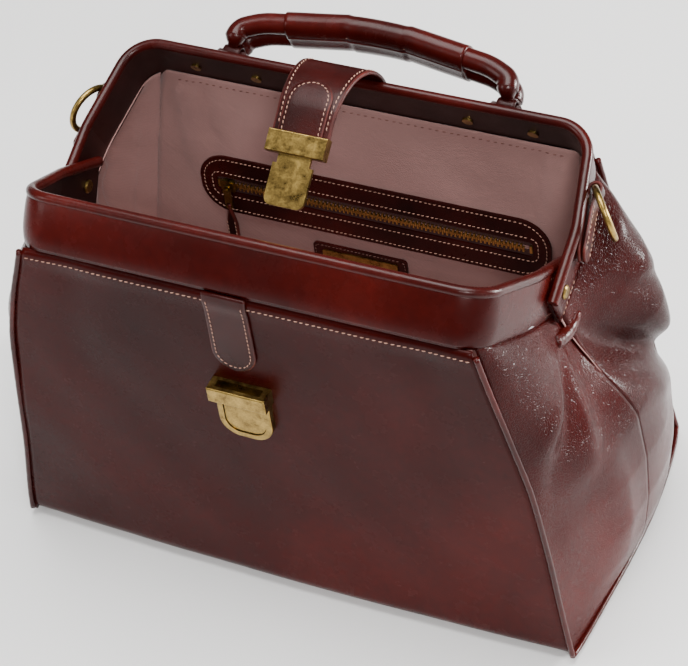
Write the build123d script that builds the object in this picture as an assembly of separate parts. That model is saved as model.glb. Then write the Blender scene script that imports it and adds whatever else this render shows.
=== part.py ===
from build123d import *
import math
import os

os.makedirs("parts", exist_ok=True)

# Framed doctor bag, standing open.  Millimetres, +Z up, +X to the right seen
# from the front, -Y the front.  Origin: centre of the base, on the ground.

# ---- driving dimensions -------------------------------------------------
BASE_L = 400.0        # outer base length (X)
BASE_W = 214.0        # outer base width (Y)
LEATHER = 2.5         # body leather
PIN_Y, PIN_Z = -14.2, 237.4     # hinge line of the two mouth frames
REAR_OPEN = 64.9      # rear frame, degrees from vertical, standing open
FRONT_OPEN = 59.5     # front frame, degrees from vertical, standing open
CLOSED = 12.1         # each frame, degrees from vertical, mouth shut
STRIP_W = 33.8        # width of the frame strip
STRIP_M = 14.2        # pin to the meeting edge, across the strip
LEG_TAIL = 14.0       # strip beyond the pin
FRAME_H = 98.6        # pin to the inner face of the top bar
FRONT_X, REAR_X = 159.8, 165.2  # inner faces of the legs at the pin
TOP_IN = 10.0         # how much the legs lean in at the top
KINK = 35.0           # straight length of leg above the pin
CORNER_R = 20.0       # inner corner radius of each frame
FACING_T, STEEL_T, COVER_T = 1.5, 1.5, 1.6
BAND = FACING_T + STEEL_T + COVER_T
BEAD_R = 3.6
PIN_R = 2.5
PANEL_TOP_Z, PANEL_TOP_Y, PANEL_TOP_X = 270.0, -111.0, 152.0
BACK_TOP_Z, BACK_TOP_Y = 260.5, 86.0
STRAP_X = -6.0
STRAP_T = 3.0
STRAP_C = (38.2, 278.3)         # centre of the strap's arch in Y, Z
STRAP_R = 42.0                  # radius of its middle surface
ZIP_Y, ZIP_Z = 76.0, 176.0      # zip plane and centre line
ZIP_X0, ZIP_X1 = -117.0, 113.0
LOCK_X, LOCK_Z = -8.0, 173.0
CHAPE_X = 96.0
RIVET_DX = 22.0
RING_R, RING_ROD = 16.5, 2.2

nodes = {}


def out(name, shape):
    nodes[name] = shape
    export_step(shape, f"parts/{name}.step")


# ---- helpers ------------------------------------------------------------
def face_of(pts):
    return Face(Wire.make_polygon([Vector(*p) for p in pts], close=True))


def thick(pts, tris, off):
    """Closed solid: the triangles, the same triangles moved by off, and a rim."""
    off = Vector(*off)
    top = [Vector(*p) for p in pts]
    low = [p + off for p in top]
    faces = []
    edges = {}
    for t in tris:
        faces.append(Face(Wire.make_polygon([top[i] for i in t], close=True)))
        faces.append(Face(Wire.make_polygon([low[i] for i in reversed(t)], close=True)))
        for a, b in ((t[0], t[1]), (t[1], t[2]), (t[2], t[0])):
            edges[(a, b)] = edges.get((a, b), 0) + 1
    for a, b in list(edges):
        if (b, a) not in edges:
            faces.append(Face(Wire.make_polygon([top[a], top[b], low[b], low[a]], close=True)))
    s = Solid(Shell(faces))
    return s.fix() if not s.is_valid else s


def box(x0, x1, y0, y1, z0, z1):
    return Pos((x0 + x1) / 2, (y0 + y1) / 2, (z0 + z1) / 2) * Box(x1 - x0, y1 - y0, z1 - z0)


def cyl(p, axis, r, h):
    """Cylinder from p along axis."""
    return Solid.make_cylinder(r, h, Plane(origin=p, z_dir=axis))


def tube(pts, radii, r):
    path = FilletPolyline(*[Vector(*p) for p in pts], radius=radii)
    e = path.edges().sort_by(Axis.X)[0] if False else path.edges()[0]
    start = path @ 0
    return sweep(Plane(origin=start, z_dir=path % 0) * Circle(r), path=path)


# ---- frame planes: local X = X, local Y = up the leg, local Z = across ---
def hoop_plane(tilt, front):
    t = math.radians(tilt)
    if front:
        l = (0, -math.sin(t), math.cos(t))
    else:
        l = (0, math.sin(t), math.cos(t))
    z = (0, -l[2], l[1])
    return Plane(origin=(0, PIN_Y, PIN_Z), x_dir=(1, 0, 0), z_dir=z)


FP = hoop_plane(FRONT_OPEN, True)     # local +Z is the outer edge side
RP = hoop_plane(REAR_OPEN, False)     # local -Z is the outer edge side


def outline(x0, o, low):
    nx = math.hypot(1, TOP_IN / (FRAME_H - KINK))
    slope = TOP_IN / (FRAME_H - KINK)
    top = FRAME_H + o
    xk = x0 + o
    xt = x0 + o * nx - slope * (top - KINK)
    k = KINK + o * (nx - 1) / slope
    pts = [(xk, low), (xk, k), (xt, top), (-xt, top), (-xk, k), (-xk, low)]
    f = make_face(Polyline(*pts, close=True))
    tops = [v for v in f.vertices() if abs(v.Y - top) < 1e-6]
    return fillet(tops, CORNER_R + o)


def band(x0, o1, o2, front, w0, w1):
    """Strip layer between offsets o1 and o2, from w0 to w1 across the strip."""
    sk = outline(x0, o2, -LEG_TAIL) - outline(x0, o1, -LEG_TAIL - 5)
    s = 1 if front else -1
    lo, hi = sorted((s * w0, s * w1))
    solid = extrude(sk.face() if hasattr(sk, "face") else sk, amount=hi - lo, dir=(0, 0, 1))
    return Pos(0, 0, lo) * solid


def bead(x0, o, r, front, w):
    slope = TOP_IN / (FRAME_H - KINK)
    nx = math.hypot(1, slope)
    top = FRAME_H + o
    xk = x0 + o
    xt = x0 + o * nx - slope * (top - KINK)
    k = KINK + o * (nx - 1) / slope
    z = w if front else -w
    pts = [(xk, -LEG_TAIL, z), (xk, k, z), (xt, top, z), (-xt, top, z), (-xk, k, z), (-xk, -LEG_TAIL, z)]
    return tube(pts, [60.0, CORNER_R + o, CORNER_R + o, 60.0], r)


def frame_set(name, x0, plane, front, hole_r):
    o_bead = BAND - BEAD_R if front else BEAD_R
    bd = bead(x0, o_bead, BEAD_R, front, -STRIP_M)
    w0, w1 = -STRIP_M, STRIP_W - STRIP_M
    holes = []
    for s in (-1, 1):
        holes.append(Solid.make_cylinder(hole_r, 40, Plane(origin=(s * (x0 - 15), 0, 0), z_dir=(s, 0, 0))))
    parts = {}
    parts["facing"] = band(x0, 0.0, FACING_T, front, w0, w1 - 1.0)
    parts["steel"] = band(x0, FACING_T, FACING_T + STEEL_T, front, w0 + 4.2, w1 - 3.0)
    parts["cover"] = band(x0, FACING_T + STEEL_T, BAND, front, w0, w1)
    for k, p in parts.items():
        if k != "steel":
            p = p - bd
        for h in holes:
            p = p - h
        out(f"{name}_{k}", plane.location * p)
    out(f"{name}_bead", plane.location * bd)


frame_set("front_frame", FRONT_X, FP, True, PIN_R + 0.05)
frame_set("rear_frame", REAR_X, RP, False, PIN_R)

# hinge rivets: one through each pair of legs, headed both ends
pins = []
for s in (-1, 1):
    shaft = cyl((s * (FRONT_X - 1.8), PIN_Y, PIN_Z), (s, 0, 0), PIN_R, REAR_X + BAND - FRONT_X + 3.4)
    hi = cyl((s * (FRONT_X - 0.3), PIN_Y, PIN_Z), (-s, 0, 0), 4.6, 1.5)
    ho = cyl((s * (REAR_X + BAND), PIN_Y, PIN_Z), (s, 0, 0), 4.6, 1.6)
    hi = chamfer(hi.edges().filter_by(GeomType.CIRCLE).sort_by(Axis.X)[0 if s > 0 else -1], 0.8)
    ho = chamfer(ho.edges().filter_by(GeomType.CIRCLE).sort_by(Axis.X)[-1 if s > 0 else 0], 0.9)
    pins.append(shaft + hi + ho)
out("hinge_rivets", Compound(children=pins))

# ---- body shell ---------------------------------------------------------
HX, HY = BASE_L / 2, BASE_W / 2
Z0 = 2.6
base = box(-HX, HX, -HY, HY, 0, 2.5)
base = fillet(base.edges().filter_by(Axis.Z), 6)
out("base_panel", base)
board = box(-193, 193, -101, 101, 2.7, 6.2)
out("base_board", fillet(board.edges().filter_by(Axis.Z), 8))


def fy(z):
    return -HY + (PANEL_TOP_Y + HY) * (z / PANEL_TOP_Z)


def by(z):
    return HY + (BACK_TOP_Y - HY) * (z / BACK_TOP_Z)


def fx(z):
    return HX - (HX - PANEL_TOP_X) * z / PANEL_TOP_Z


front = thick(
    [(-fx(Z0), fy(Z0), Z0), (fx(Z0), fy(Z0), Z0), (PANEL_TOP_X, PANEL_TOP_Y, PANEL_TOP_Z), (-PANEL_TOP_X, PANEL_TOP_Y, PANEL_TOP_Z)],
    [(0, 1, 2), (0, 2, 3)], (0, LEATHER, 0))
LOCK_POSTS = [(LOCK_X - 10, LOCK_Z + 10), (LOCK_X + 10, LOCK_Z + 10)]
for x, z in LOCK_POSTS:
    front = front - cyl((x, fy(z) - 6, z), (0, 1, 0), 1.6, 14)
out("front_panel", front)
back = thick(
    [(-fx(Z0), by(Z0), Z0), (fx(Z0), by(Z0), Z0), (fx(BACK_TOP_Z), BACK_TOP_Y, BACK_TOP_Z), (-fx(BACK_TOP_Z), BACK_TOP_Y, BACK_TOP_Z)],
    [(0, 2, 1), (0, 3, 2)], (0, -LEATHER, 0))
out("back_panel", back)

G = LEATHER + 0.25
for s, name in ((-1, "left"), (1, "right")):
    def m(p):
        return (s * p[0], p[1], p[2])
    pts = [
        m((HX, fy(Z0) + G, Z0)), m((206, -4, Z0)), m((HX, by(Z0) - G, Z0)),
        m((PANEL_TOP_X + 1.5, PANEL_TOP_Y + G, PANEL_TOP_Z - 1.5)), m((166.5, -14.2, 207.0)),
        m((fx(BACK_TOP_Z) + 1.5, BACK_TOP_Y - G, BACK_TOP_Z - 1.5)),
        m((203, -62, 95)), m((215, 52, 92)), m((193, -8, 100)),
    ]
    tris = [(0, 1, 6), (1, 8, 6), (8, 4, 6), (4, 3, 6), (3, 0, 6),
            (1, 2, 7), (2, 5, 7), (5, 4, 7), (4, 8, 7), (8, 1, 7)]
    if s < 0:
        tris = [(a, c, b) for a, b, c in tris]
    out(f"gusset_{name}", thick(pts, tris, (-s * LEATHER, 0, 0)))
    # lining of the same side, a little further in
    lp = [
        m((190, -99.5, 8.5)), m((196, -4, 8.5)), m((190, 77.5, 8.5)),
        m((146.0, -103.0, 256)), m((159, -14.2, 200)), m((147, 77.5, 246)),
        m((194, -60, 95)), m((199, 40, 92)), m((184, -8, 100)),
    ]
    out(f"lining_{name}", thick(lp, tris, (-s * 1.0, 0, 0)))
    # welt along the front corner, the foot of the side and the back corner
    zt = PANEL_TOP_Z - 3
    zb = BACK_TOP_Z - 3
    wp = [m((fx(zt) + 2.1, fy(zt) + 0.2, zt)), m((HX + 2.1, fy(6) + 0.2, 4.6)),
          m((HX + 8.6, -4, 4.6)),
          m((HX + 2.1, by(6) - 0.2, 4.6)), m((fx(zb) + 2.1, by(zb) - 0.2, zb))]
    out(f"piping_{name}", tube(wp, [9.0, 300.0, 9.0], 1.8))

out("lining_base", box(-189, 189, -99, 76.5, 6.5, 7.5))
out("lining_front", thick(
    [(-188, -100.6, 8), (188, -100.6, 8), (145, -104.2, 257), (-145, -104.2, 257)],
    [(0, 1, 2), (0, 2, 3)], (0, 1.0, 0)))
LB = ZIP_Y + 2.3
lb = thick(
    [(-188, LB, 8), (188, LB, 8), (146, LB, 247), (-146, LB, 247)],
    [(0, 1, 2), (0, 2, 3)], (0, 1.0, 0))
lb = lb - box(ZIP_X0 + 1, ZIP_X1 - 1, LB - 3, LB + 3, ZIP_Z - 4, ZIP_Z + 4)
out("lining_back", lb)
out("pocket_bag", box(-126, 122, LB + 1.3, LB + 3.3, ZIP_Z - 105, ZIP_Z + 14))

# ---- zip pocket ---------------------------------------------------------
cx, hl = (ZIP_X0 + ZIP_X1) / 2, (ZIP_X1 - ZIP_X0) / 2


def stadium(half, height, r, y0, y1):
    b = box(cx - half, cx + half, y0, y1, ZIP_Z - height / 2, ZIP_Z + height / 2)
    return fillet(b.edges().filter_by(Axis.Y), r)


out("zip_surround", stadium(hl + 13, 50, 22, ZIP_Y, ZIP_Y + 1.5) - stadium(hl + 0.5, 13, 3, ZIP_Y - 1, ZIP_Y + 3))
for s, name in ((1, "upper"), (-1, "lower")):
    z0, z1 = sorted((ZIP_Z + s * 1.9, ZIP_Z + s * 11))
    out(f"zip_tape_{name}", box(ZIP_X0 - 2, ZIP_X1 + 2, ZIP_Y + 1.55, ZIP_Y + 2.25, z0, z1))
    teeth = []
    n = int((ZIP_X1 - ZIP_X0 - 6) / 3.0)
    for i in range(n):
        x = ZIP_X0 + 3 + 3.0 * i + (0 if s > 0 else 1.5)
        z0, z1 = sorted((ZIP_Z - s * 1.0, ZIP_Z + s * 3.0))
        teeth.append(box(x - 0.6, x + 0.6, ZIP_Y - 0.2, ZIP_Y + 1.5, z0, z1))
    out(f"zip_teeth_{name}", Compound(children=teeth))
out("zip_stops", Compound(children=[
    box(ZIP_X0 + 0.2, ZIP_X0 + 1.6, ZIP_Y - 0.2, ZIP_Y + 1.5, ZIP_Z - 3, ZIP_Z + 3),
    box(ZIP_X1 - 2.0, ZIP_X1 - 0.2, ZIP_Y - 0.2, ZIP_Y + 1.5, ZIP_Z - 3, ZIP_Z + 3)]))
SX = ZIP_X0 + 8.5
slider = box(SX - 5.5, SX + 5.5, ZIP_Y - 2.0, ZIP_Y - 0.6, ZIP_Z - 4.6, ZIP_Z + 4.6)
slider = fillet(slider.edges().filter_by(Axis.Y), 2.0)
for s in (-1, 1):
    z0, z1 = sorted((ZIP_Z + s * 3.4, ZIP_Z + s * 4.6))
    slider = slider + box(SX - 3.5, SX + 3.5, ZIP_Y - 0.7, ZIP_Y + 1.2, z0, z1)
BAIL_Z = ZIP_Z - 1.0
slider = slider + cyl((SX, ZIP_Y - 1.9, BAIL_Z), (0, -1, 0), 1.2, 4.4) + cyl((SX, ZIP_Y - 6.0, BAIL_Z), (0, -1, 0), 2.2, 0.9)
out("zip_slider", slider)
pull = box(SX - 2.8, SX + 2.8, ZIP_Y - 5.0, ZIP_Y - 3.6, BAIL_Z - 17, BAIL_Z + 3.2)
pull = fillet(pull.edges().filter_by(Axis.Y), 2.4)
pull = pull - cyl((SX, ZIP_Y - 8, BAIL_Z), (0, 1, 0), 1.27, 10)
pull = pull - box(SX - 1.6, SX + 1.6, ZIP_Y - 8, ZIP_Y, BAIL_Z - 14.6, BAIL_Z - 11.4)
out("zip_pull", pull)
# leather thong folded through the pull's slot, two plies hanging down
ty = ZIP_Y - 4.3
th = box(SX - 1.4, SX + 1.4, ty - 2.1, ty + 2.1, BAIL_Z - 14.2, BAIL_Z - 12.6)
th = th + box(SX - 1.4, SX + 1.4, ty - 2.1, ty - 0.85, BAIL_Z - 20, BAIL_Z - 12.6)
th = th + box(SX - 1.4, SX + 1.4, ty + 0.85, ty + 2.1, BAIL_Z - 20, BAIL_Z - 12.6)
th = th + box(SX - 4.2, SX + 4.2, ty - 1.7, ty + 1.7, BAIL_Z - 68, BAIL_Z - 19)
out("zip_thong", th)

# ---- maker's patch inside, blank ----------------------------------------
patch = box(-50, 20, LB - 1.6, LB - 0.1, 112, 139)
out("patch_leather", fillet(patch.edges().filter_by(Axis.Y), 3))
plate = box(-43, 13, LB - 2.5, LB - 1.65, 116, 134)
out("patch_plate", fillet(plate.edges().filter_by(Axis.Y), 1.5))

# ---- front tab and lock -------------------------------------------------
def on_front(x, z, d=0.0):
    return (x, fy(z) - d, z)


tab_pts = [(-23, 269.5), (9, 269.5)]
for a in range(0, 181, 20):
    tab_pts.append((-7 + 15 * math.cos(math.radians(a)), 237 - 15 * math.sin(math.radians(a))))
tp = [on_front(x, z, 0.05) for x, z in tab_pts]
out("front_tab", thick(tp, [(0, i + 1, i) for i in range(1, len(tp) - 1)], (0, -1.6, 0)))

lock_tilt = math.degrees(math.atan2(HY + PANEL_TOP_Y, PANEL_TOP_Z))
LP = Plane(origin=(LOCK_X, fy(LOCK_Z), LOCK_Z), x_dir=(1, 0, 0), z_dir=(0, -math.cos(math.radians(lock_tilt)), math.sin(math.radians(lock_tilt))))


def dshape(w, top, bottom, r):
    sk = make_face(Polyline((-w / 2, top), (w / 2, top), (w / 2, bottom), (-w / 2, bottom), close=True))
    low = [v for v in sk.vertices() if abs(v.Y - bottom) < 1e-6]
    return fillet(low, r)


lk = extrude(dshape(37, 14, -22.5, 14), amount=5.6)
lk = fillet(lk.faces().sort_by(Axis.Z)[-1].edges(), 1.0)
lk = lk - Pos(0, 0, 2.0) * extrude(dshape(28.4, 10.2, -18.2, 10), amount=10)
socket = Pos(0, 17.5, 6.0) * Box(40, 11.5, 11.9)
socket = fillet(socket.faces().sort_by(Axis.Z)[-1].edges(), 1.0)
socket = socket - Pos(0, 18.5, 5.4) * Box(31, 12, 5.6)
lock = (lk - Pos(0, 17.5, 6.0) * Box(42, 11.5, 20)) + socket
out("lock_body", LP.location * lock)
press = Pos(0, 0, 3.4) * extrude(dshape(27.4, 9.6, -17.7, 9.5), amount=1.4)
out("lock_press_plate", LP.location * press)
post = [LP.location * (Pos(x - LOCK_X, z - LOCK_Z, -4.6) * Cylinder(1.5, 4.55, align=(Align.CENTER, Align.CENTER, Align.MIN))) for x, z in LOCK_POSTS]
out("lock_rivets", Compound(children=[p for p in post]))
bp = Pos(0, 4, -3.4) * Box(32, 34, 0.8)
for x, z in LOCK_POSTS:
    bp = bp - Pos(x - LOCK_X, z - LOCK_Z, -5) * Cylinder(1.52, 8)
out("lock_back_plate", LP.location * bp)

# ---- chapes and handle on the rear frame --------------------------------
OUTER = FRAME_H + BAND          # outer face of the rear top bar, in frame coordinates
AX_H = OUTER + 9.6              # handle axis above the pin line, up the frame
WC = STRIP_W / 2 - STRIP_M      # middle of the strip, across
ZC = -WC                        # the same in local Z (rear)


def lbox(x0, x1, l0, l1, z0, z1):
    return box(x0, x1, l0, l1, z0, z1)


rivs = []
for s, name in ((-1, "left"), (1, "right")):
    c = s * CHAPE_X
    sh = None
    for t in (-1, 1):
        x0, x1 = sorted((c + t * 15, c + t * 32))
        wing = lbox(x0, x1, OUTER + 0.02, OUTER + 2.0, ZC - 10, ZC + 10)
        ramp = extrude(make_face(Polyline((c + t * 16, OUTER + 0.02), (c + t * 16, OUTER + 2.0), (c + t * 9.5, AX_H + 1.1),
                                          (c + t * 8.5, AX_H + 1.1), (c + t * 8.5, AX_H - 1.1), (c + t * 14.2, OUTER + 0.02), close=True)), amount=5.6)
        ramp = Pos(0, 0, ZC - 2.8 - min(0, ramp.bounding_box().min.Z)) * ramp
        sh = (wing + ramp) if sh is None else sh + wing + ramp
    sh = sh + lbox(c - 9, c + 9, AX_H - 1.1, AX_H + 1.1, ZC - 2.8, ZC + 2.8)
    for t in (-1, 1):
        hole = cyl((c + t * RIVET_DX, FRAME_H - 5, ZC), (0, 1, 0), 1.5, 20)
        sh = sh - hole
        r = cyl((c + t * RIVET_DX, FRAME_H - 0.9, ZC), (0, 1, 0), 1.45, BAND + 2.0 + 1.8)
        r = r + cyl((c + t * RIVET_DX, FRAME_H - 1.3, ZC), (0, 1, 0), 3.6, 1.3)
        r = r + cyl((c + t * RIVET_DX, OUTER + 2.02, ZC), (0, 1, 0), 3.6, 1.2)
        rivs.append(RP.location * r)
    out(f"chape_{name}", RP.location * sh)
out("chape_rivets", Compound(children=rivs))
for k in ("facing", "steel", "cover"):
    p = nodes[f"rear_frame_{k}"]
    for s in (-1, 1):
        for t in (-1, 1):
            h = cyl((s * CHAPE_X + t * RIVET_DX, FRAME_H - 5, ZC), (0, 1, 0), 1.47, 20)
            p = p - RP.location * h
    out(f"rear_frame_{k}", p)

HB = AX_H + 8.0
HPTS = [(-95.0, HB + 0.2), (-95.0, 127.5), (-80.0, 134.5), (0, 146.0), (80.0, 134.5), (95.0, 127.5), (95.0, HB + 0.2)]
HRAD = [9.0, 45.0, 280.0, 45.0, 9.0]
for w, name in ((8.0, "lower"), (-8.0, "upper")):
    z = -(WC + w)
    pts = [(x, y, z) for x, y in HPTS]
    outer = tube(pts, HRAD, 7.0)
    core = tube(pts, HRAD, 4.5)
    out(f"handle_strand_{name}", RP.location * (outer - core))
    nodes[f"_core_{name}"] = RP.location * core
    nodes[f"_outer_{name}"] = outer
out("handle_cores", Compound(children=[nodes.pop("_core_upper"), nodes.pop("_core_lower")]))
gx = 62.0
gy = 134.5 + (80.0 - gx) * 11.5 / 80.0
gpath = FilletPolyline((-gx, gy, ZC), (0, 146.0, ZC), (gx, gy, ZC), radius=[280.0])
gplane = Plane(origin=gpath @ 0, z_dir=gpath % 0, x_dir=(0, 0, 1))
gsec = fillet(make_face(Polyline((-17, -9), (17, -9), (17, 9), (-17, 9), close=True)).vertices(), 8.9)
grip = sweep(gplane * gsec, path=gpath)
grip = grip - nodes.pop("_outer_upper") - nodes.pop("_outer_lower")
grip = grip.solids().sort_by(SortBy.VOLUME)[-1]
out("handle_grip", RP.location * grip)
ends = []
for s in (-1, 1):
    c = s * CHAPE_X
    e = lbox(c - 6.5, c + 6.5, AX_H - 5.6, HB - 3.5, ZC - 6.2, ZC + 6.2)
    e = e - lbox(c - 8, c + 8, AX_H - 3.4, AX_H + 3.4, ZC - 3.4, ZC + 3.4)
    e = e + lbox(c - 6.5, c + 6.5, HB - 3.5, HB, ZC - 14.6, ZC + 14.6)
    ends.append(RP.location * e)
out("handle_ends", Compound(children=ends))

# ---- side ring tabs and rings -------------------------------------------
TAB_W = 16.0
RING_L = 67.0      # ring bar height up the leg
TAB_Z = 2.0       # middle of the tab across the strip (local)
slope = TOP_IN / (FRAME_H - KINK)
lean = math.atan(slope)


def leg_pt(l, d):
    """Point at height l up the slanting leg, d outside the rear cover."""
    x = REAR_X + BAND * math.hypot(1, slope) - slope * (l - KINK)
    return (x + d * math.cos(lean), l + d * math.sin(lean))


RX = 3.1
cxl, cyl_ = leg_pt(RING_L, RX + 1.6)
for s, name in ((-1, "left"), (1, "right")):
    a0, a1 = leg_pt(RING_L, 0.05), leg_pt(20.0, 0.05)
    q = [leg_pt(RING_L, 0.05), leg_pt(20.0, 0.05), leg_pt(20.0, 2 * RX + 1.0), leg_pt(45.0, 2 * RX + 1.6), leg_pt(RING_L, 2 * RX + 3.2)]
    prof = make_face(Polyline(*q, close=True))
    t = Pos(0, 0, TAB_Z - TAB_W / 2) * extrude(prof, amount=TAB_W)
    t = t + Pos(cxl, cyl_, TAB_Z - 4.5) * extrude(Circle(RX + 1.55), amount=9)
    for w in (-1, 1):
        t = t - Pos(cxl, cyl_, TAB_Z + w * 9.5) * Box(30, 2 * RX + 7, 10)
    t = t - Pos(cxl, cyl_, TAB_Z - 20) * extrude(Circle(2.95), amount=40)
    if s < 0:
        t = mirror(t, about=Plane.YZ)
    out(f"ring_tab_{name}", RP.location * t)
    # ring: hangs from the loop, leaning out from the tab
    ang = math.radians(27.0 if s > 0 else 16.0)
    dx = -slope
    d = Vector(-(-slope), -1, 0).normalized()          # down the leg
    n = Vector(1, slope, 0).normalized()               # outward
    v = d * math.cos(ang) + n * math.sin(ang)
    ctr = Vector(cxl, cyl_, TAB_Z) + v * RING_R
    nrm = v.cross(Vector(0, 0, 1)).normalized()
    ring = Solid.make_torus(RING_R, RING_ROD, Plane(origin=ctr, z_dir=nrm))
    # flatten the bar held in the loop: straight pin along local Z
    if s < 0:
        ring = mirror(ring, about=Plane.YZ)
    nodes[f"_ring_{name}"] = (ring, ctr)
    out(f"ring_{name}", RP.location * ring)
    nodes.pop(f"_ring_{name}")
print("ring axis local", cxl, cyl_, TAB_Z, "world", RP.from_local_coords(Vector(cxl, cyl_, TAB_Z)))

# ---- closing strap ------------------------------------------------------
SCY, SCZ = STRAP_C


def s_pt(phi, r):
    a = math.radians(phi)
    return (SCY + r * math.sin(a), SCZ - r * math.cos(a))


def strap_half(phi):
    return 25.0 - 4.6 * (phi - 115.0) / 85.0


def strap_piece(p0, p1, r0, r1, n):
    """Curved band between two angles of the arch, tapering in width."""
    pts, tris = [], []
    for i in range(n + 1):
        ph = p0 + (p1 - p0) * i / n
        h = strap_half(ph)
        for r in (r0, r1):
            y, z = s_pt(ph, r)
            pts.append((STRAP_X - h, y, z))
            pts.append((STRAP_X + h, y, z))
    faces = []

    def quad(a, b, c, d):
        faces.append(Face(Wire.make_polygon([Vector(*pts[k]) for k in (a, b, c)], close=True)))
        faces.append(Face(Wire.make_polygon([Vector(*pts[k]) for k in (a, c, d)], close=True)))
    for i in range(n):
        b = 4 * i
        e = b + 4
        quad(b, b + 1, e + 1, e)
        quad(b + 2, b + 3, e + 3, e + 2)
        quad(b, e, e + 2, b + 2)
        quad(b + 1, b + 3, e + 3, e + 1)
    quad(0, 2, 3, 1)
    b = 4 * n
    quad(b, b + 1, b + 3, b + 2)
    return Solid(Shell(faces))


R0, R1 = STRAP_R - STRAP_T / 2, STRAP_R + STRAP_T / 2
A_PHI, B_PHI = 124.0, 176.0
gap = math.degrees(2.3 / STRAP_R)
# fixed end: flat on the outer face of the rear bar, then the first of the arch
anchor = lbox(STRAP_X - 25, STRAP_X + 25, OUTER + 0.05, OUTER + 5.0, -(STRIP_W - STRIP_M) + 1.0, STRIP_M - 1.0)
arc0 = strap_piece(111.5, A_PHI - gap, R0 + 0.6, R1, 3)
out("strap_anchor", ((RP.location * anchor) + arc0) - nodes["rear_frame_bead"])
out("strap_bridge", strap_piece(A_PHI + gap, B_PHI - gap, R0, R1, 6))
T_PHI = 212.0
ty0, tz0 = s_pt(T_PHI, STRAP_R)
TDIR = math.radians(219.0)
tl = 28.0
arc1 = strap_piece(B_PHI + gap, T_PHI, R0, R1, 5)
TP = Plane(origin=(STRAP_X, ty0, tz0), x_dir=(1, 0, 0), z_dir=(0, math.sin(TDIR), -math.cos(TDIR)))
# TP local: X across, Z out of the top face, Y back up the strap
SGN = 1.0 if TP.y_dir.dot(Vector(0, math.cos(TDIR), math.sin(TDIR))) > 0 else -1.0


def tbox(x0, x1, t0, t1, h0, h1):
    y0, y1 = sorted((SGN * t0, SGN * t1))
    return TP.location * box(x0, x1, y0, y1, h0, h1)


straight = tbox(-19.5, 19.5, -0.8, tl, -STRAP_T / 2, STRAP_T / 2)
out("strap_tongue", arc1 + straight)
ov = tbox(-15.0, 15.0, 1.5, tl, STRAP_T / 2 + 0.05, STRAP_T / 2 + 1.65)
out("strap_overlay", ov)
c0, c1 = 15.5, 29.5
clampb = tbox(-19.8, 19.8, c0, c1, -3.1, 4.7)
clampb = fillet(clampb.edges().filter_by(Axis.X), 0.8)
clampb = clampb - tbox(-19.55, 19.55, c0 - 1, tl + 0.05, -STRAP_T / 2 - 0.05, STRAP_T / 2 + 1.7)
out("hasp_clamp", clampb)
neck = tbox(-11, 11, c1 + 0.02, 36, -1.2, 1.2)
hp = tbox(-13.5, 13.5, 35.5, 62, -1.3, 1.3)
he = [e for e in hp.edges() if abs(e.length - 2.6) < 1e-3]
he = sorted(he, key=lambda e: (e.center() - Vector(STRAP_X, ty0, tz0)).length)[-2:]
hp = fillet(he, 5.0)
out("hasp_plate", neck + hp)

for k in ("A", "B"):
    ph = A_PHI if k == "A" else B_PHI
    print("strap hinge", k, s_pt(ph, STRAP_R))
print("handle axis world", RP.from_local_coords(Vector(0, AX_H, ZC)))
print("frame across dir", RP.z_dir, "lock normal", LP.z_dir)
print("bail", SX, BAIL_Z)
print(len([n for n in nodes if not n.startswith('_')]), "nodes")
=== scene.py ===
import math
import bpy
import numpy as np
from mathutils import Matrix, Vector


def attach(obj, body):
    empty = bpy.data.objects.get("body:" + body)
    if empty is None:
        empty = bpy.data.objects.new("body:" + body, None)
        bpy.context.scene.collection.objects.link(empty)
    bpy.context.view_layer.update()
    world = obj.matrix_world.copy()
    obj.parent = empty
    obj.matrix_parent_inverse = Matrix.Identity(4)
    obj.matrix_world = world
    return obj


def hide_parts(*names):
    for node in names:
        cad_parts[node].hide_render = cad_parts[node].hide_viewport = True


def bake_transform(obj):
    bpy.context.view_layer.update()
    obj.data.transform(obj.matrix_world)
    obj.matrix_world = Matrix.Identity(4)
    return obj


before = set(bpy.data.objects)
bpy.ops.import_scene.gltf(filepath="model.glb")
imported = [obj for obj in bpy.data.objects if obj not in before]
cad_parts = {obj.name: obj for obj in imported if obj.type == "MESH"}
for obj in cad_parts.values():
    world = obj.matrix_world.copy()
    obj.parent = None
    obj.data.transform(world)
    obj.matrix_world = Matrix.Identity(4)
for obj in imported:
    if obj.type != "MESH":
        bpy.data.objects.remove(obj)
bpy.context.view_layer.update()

NODES = {n if isinstance(n, str) else n.get("name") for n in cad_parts}
T = math.radians


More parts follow.
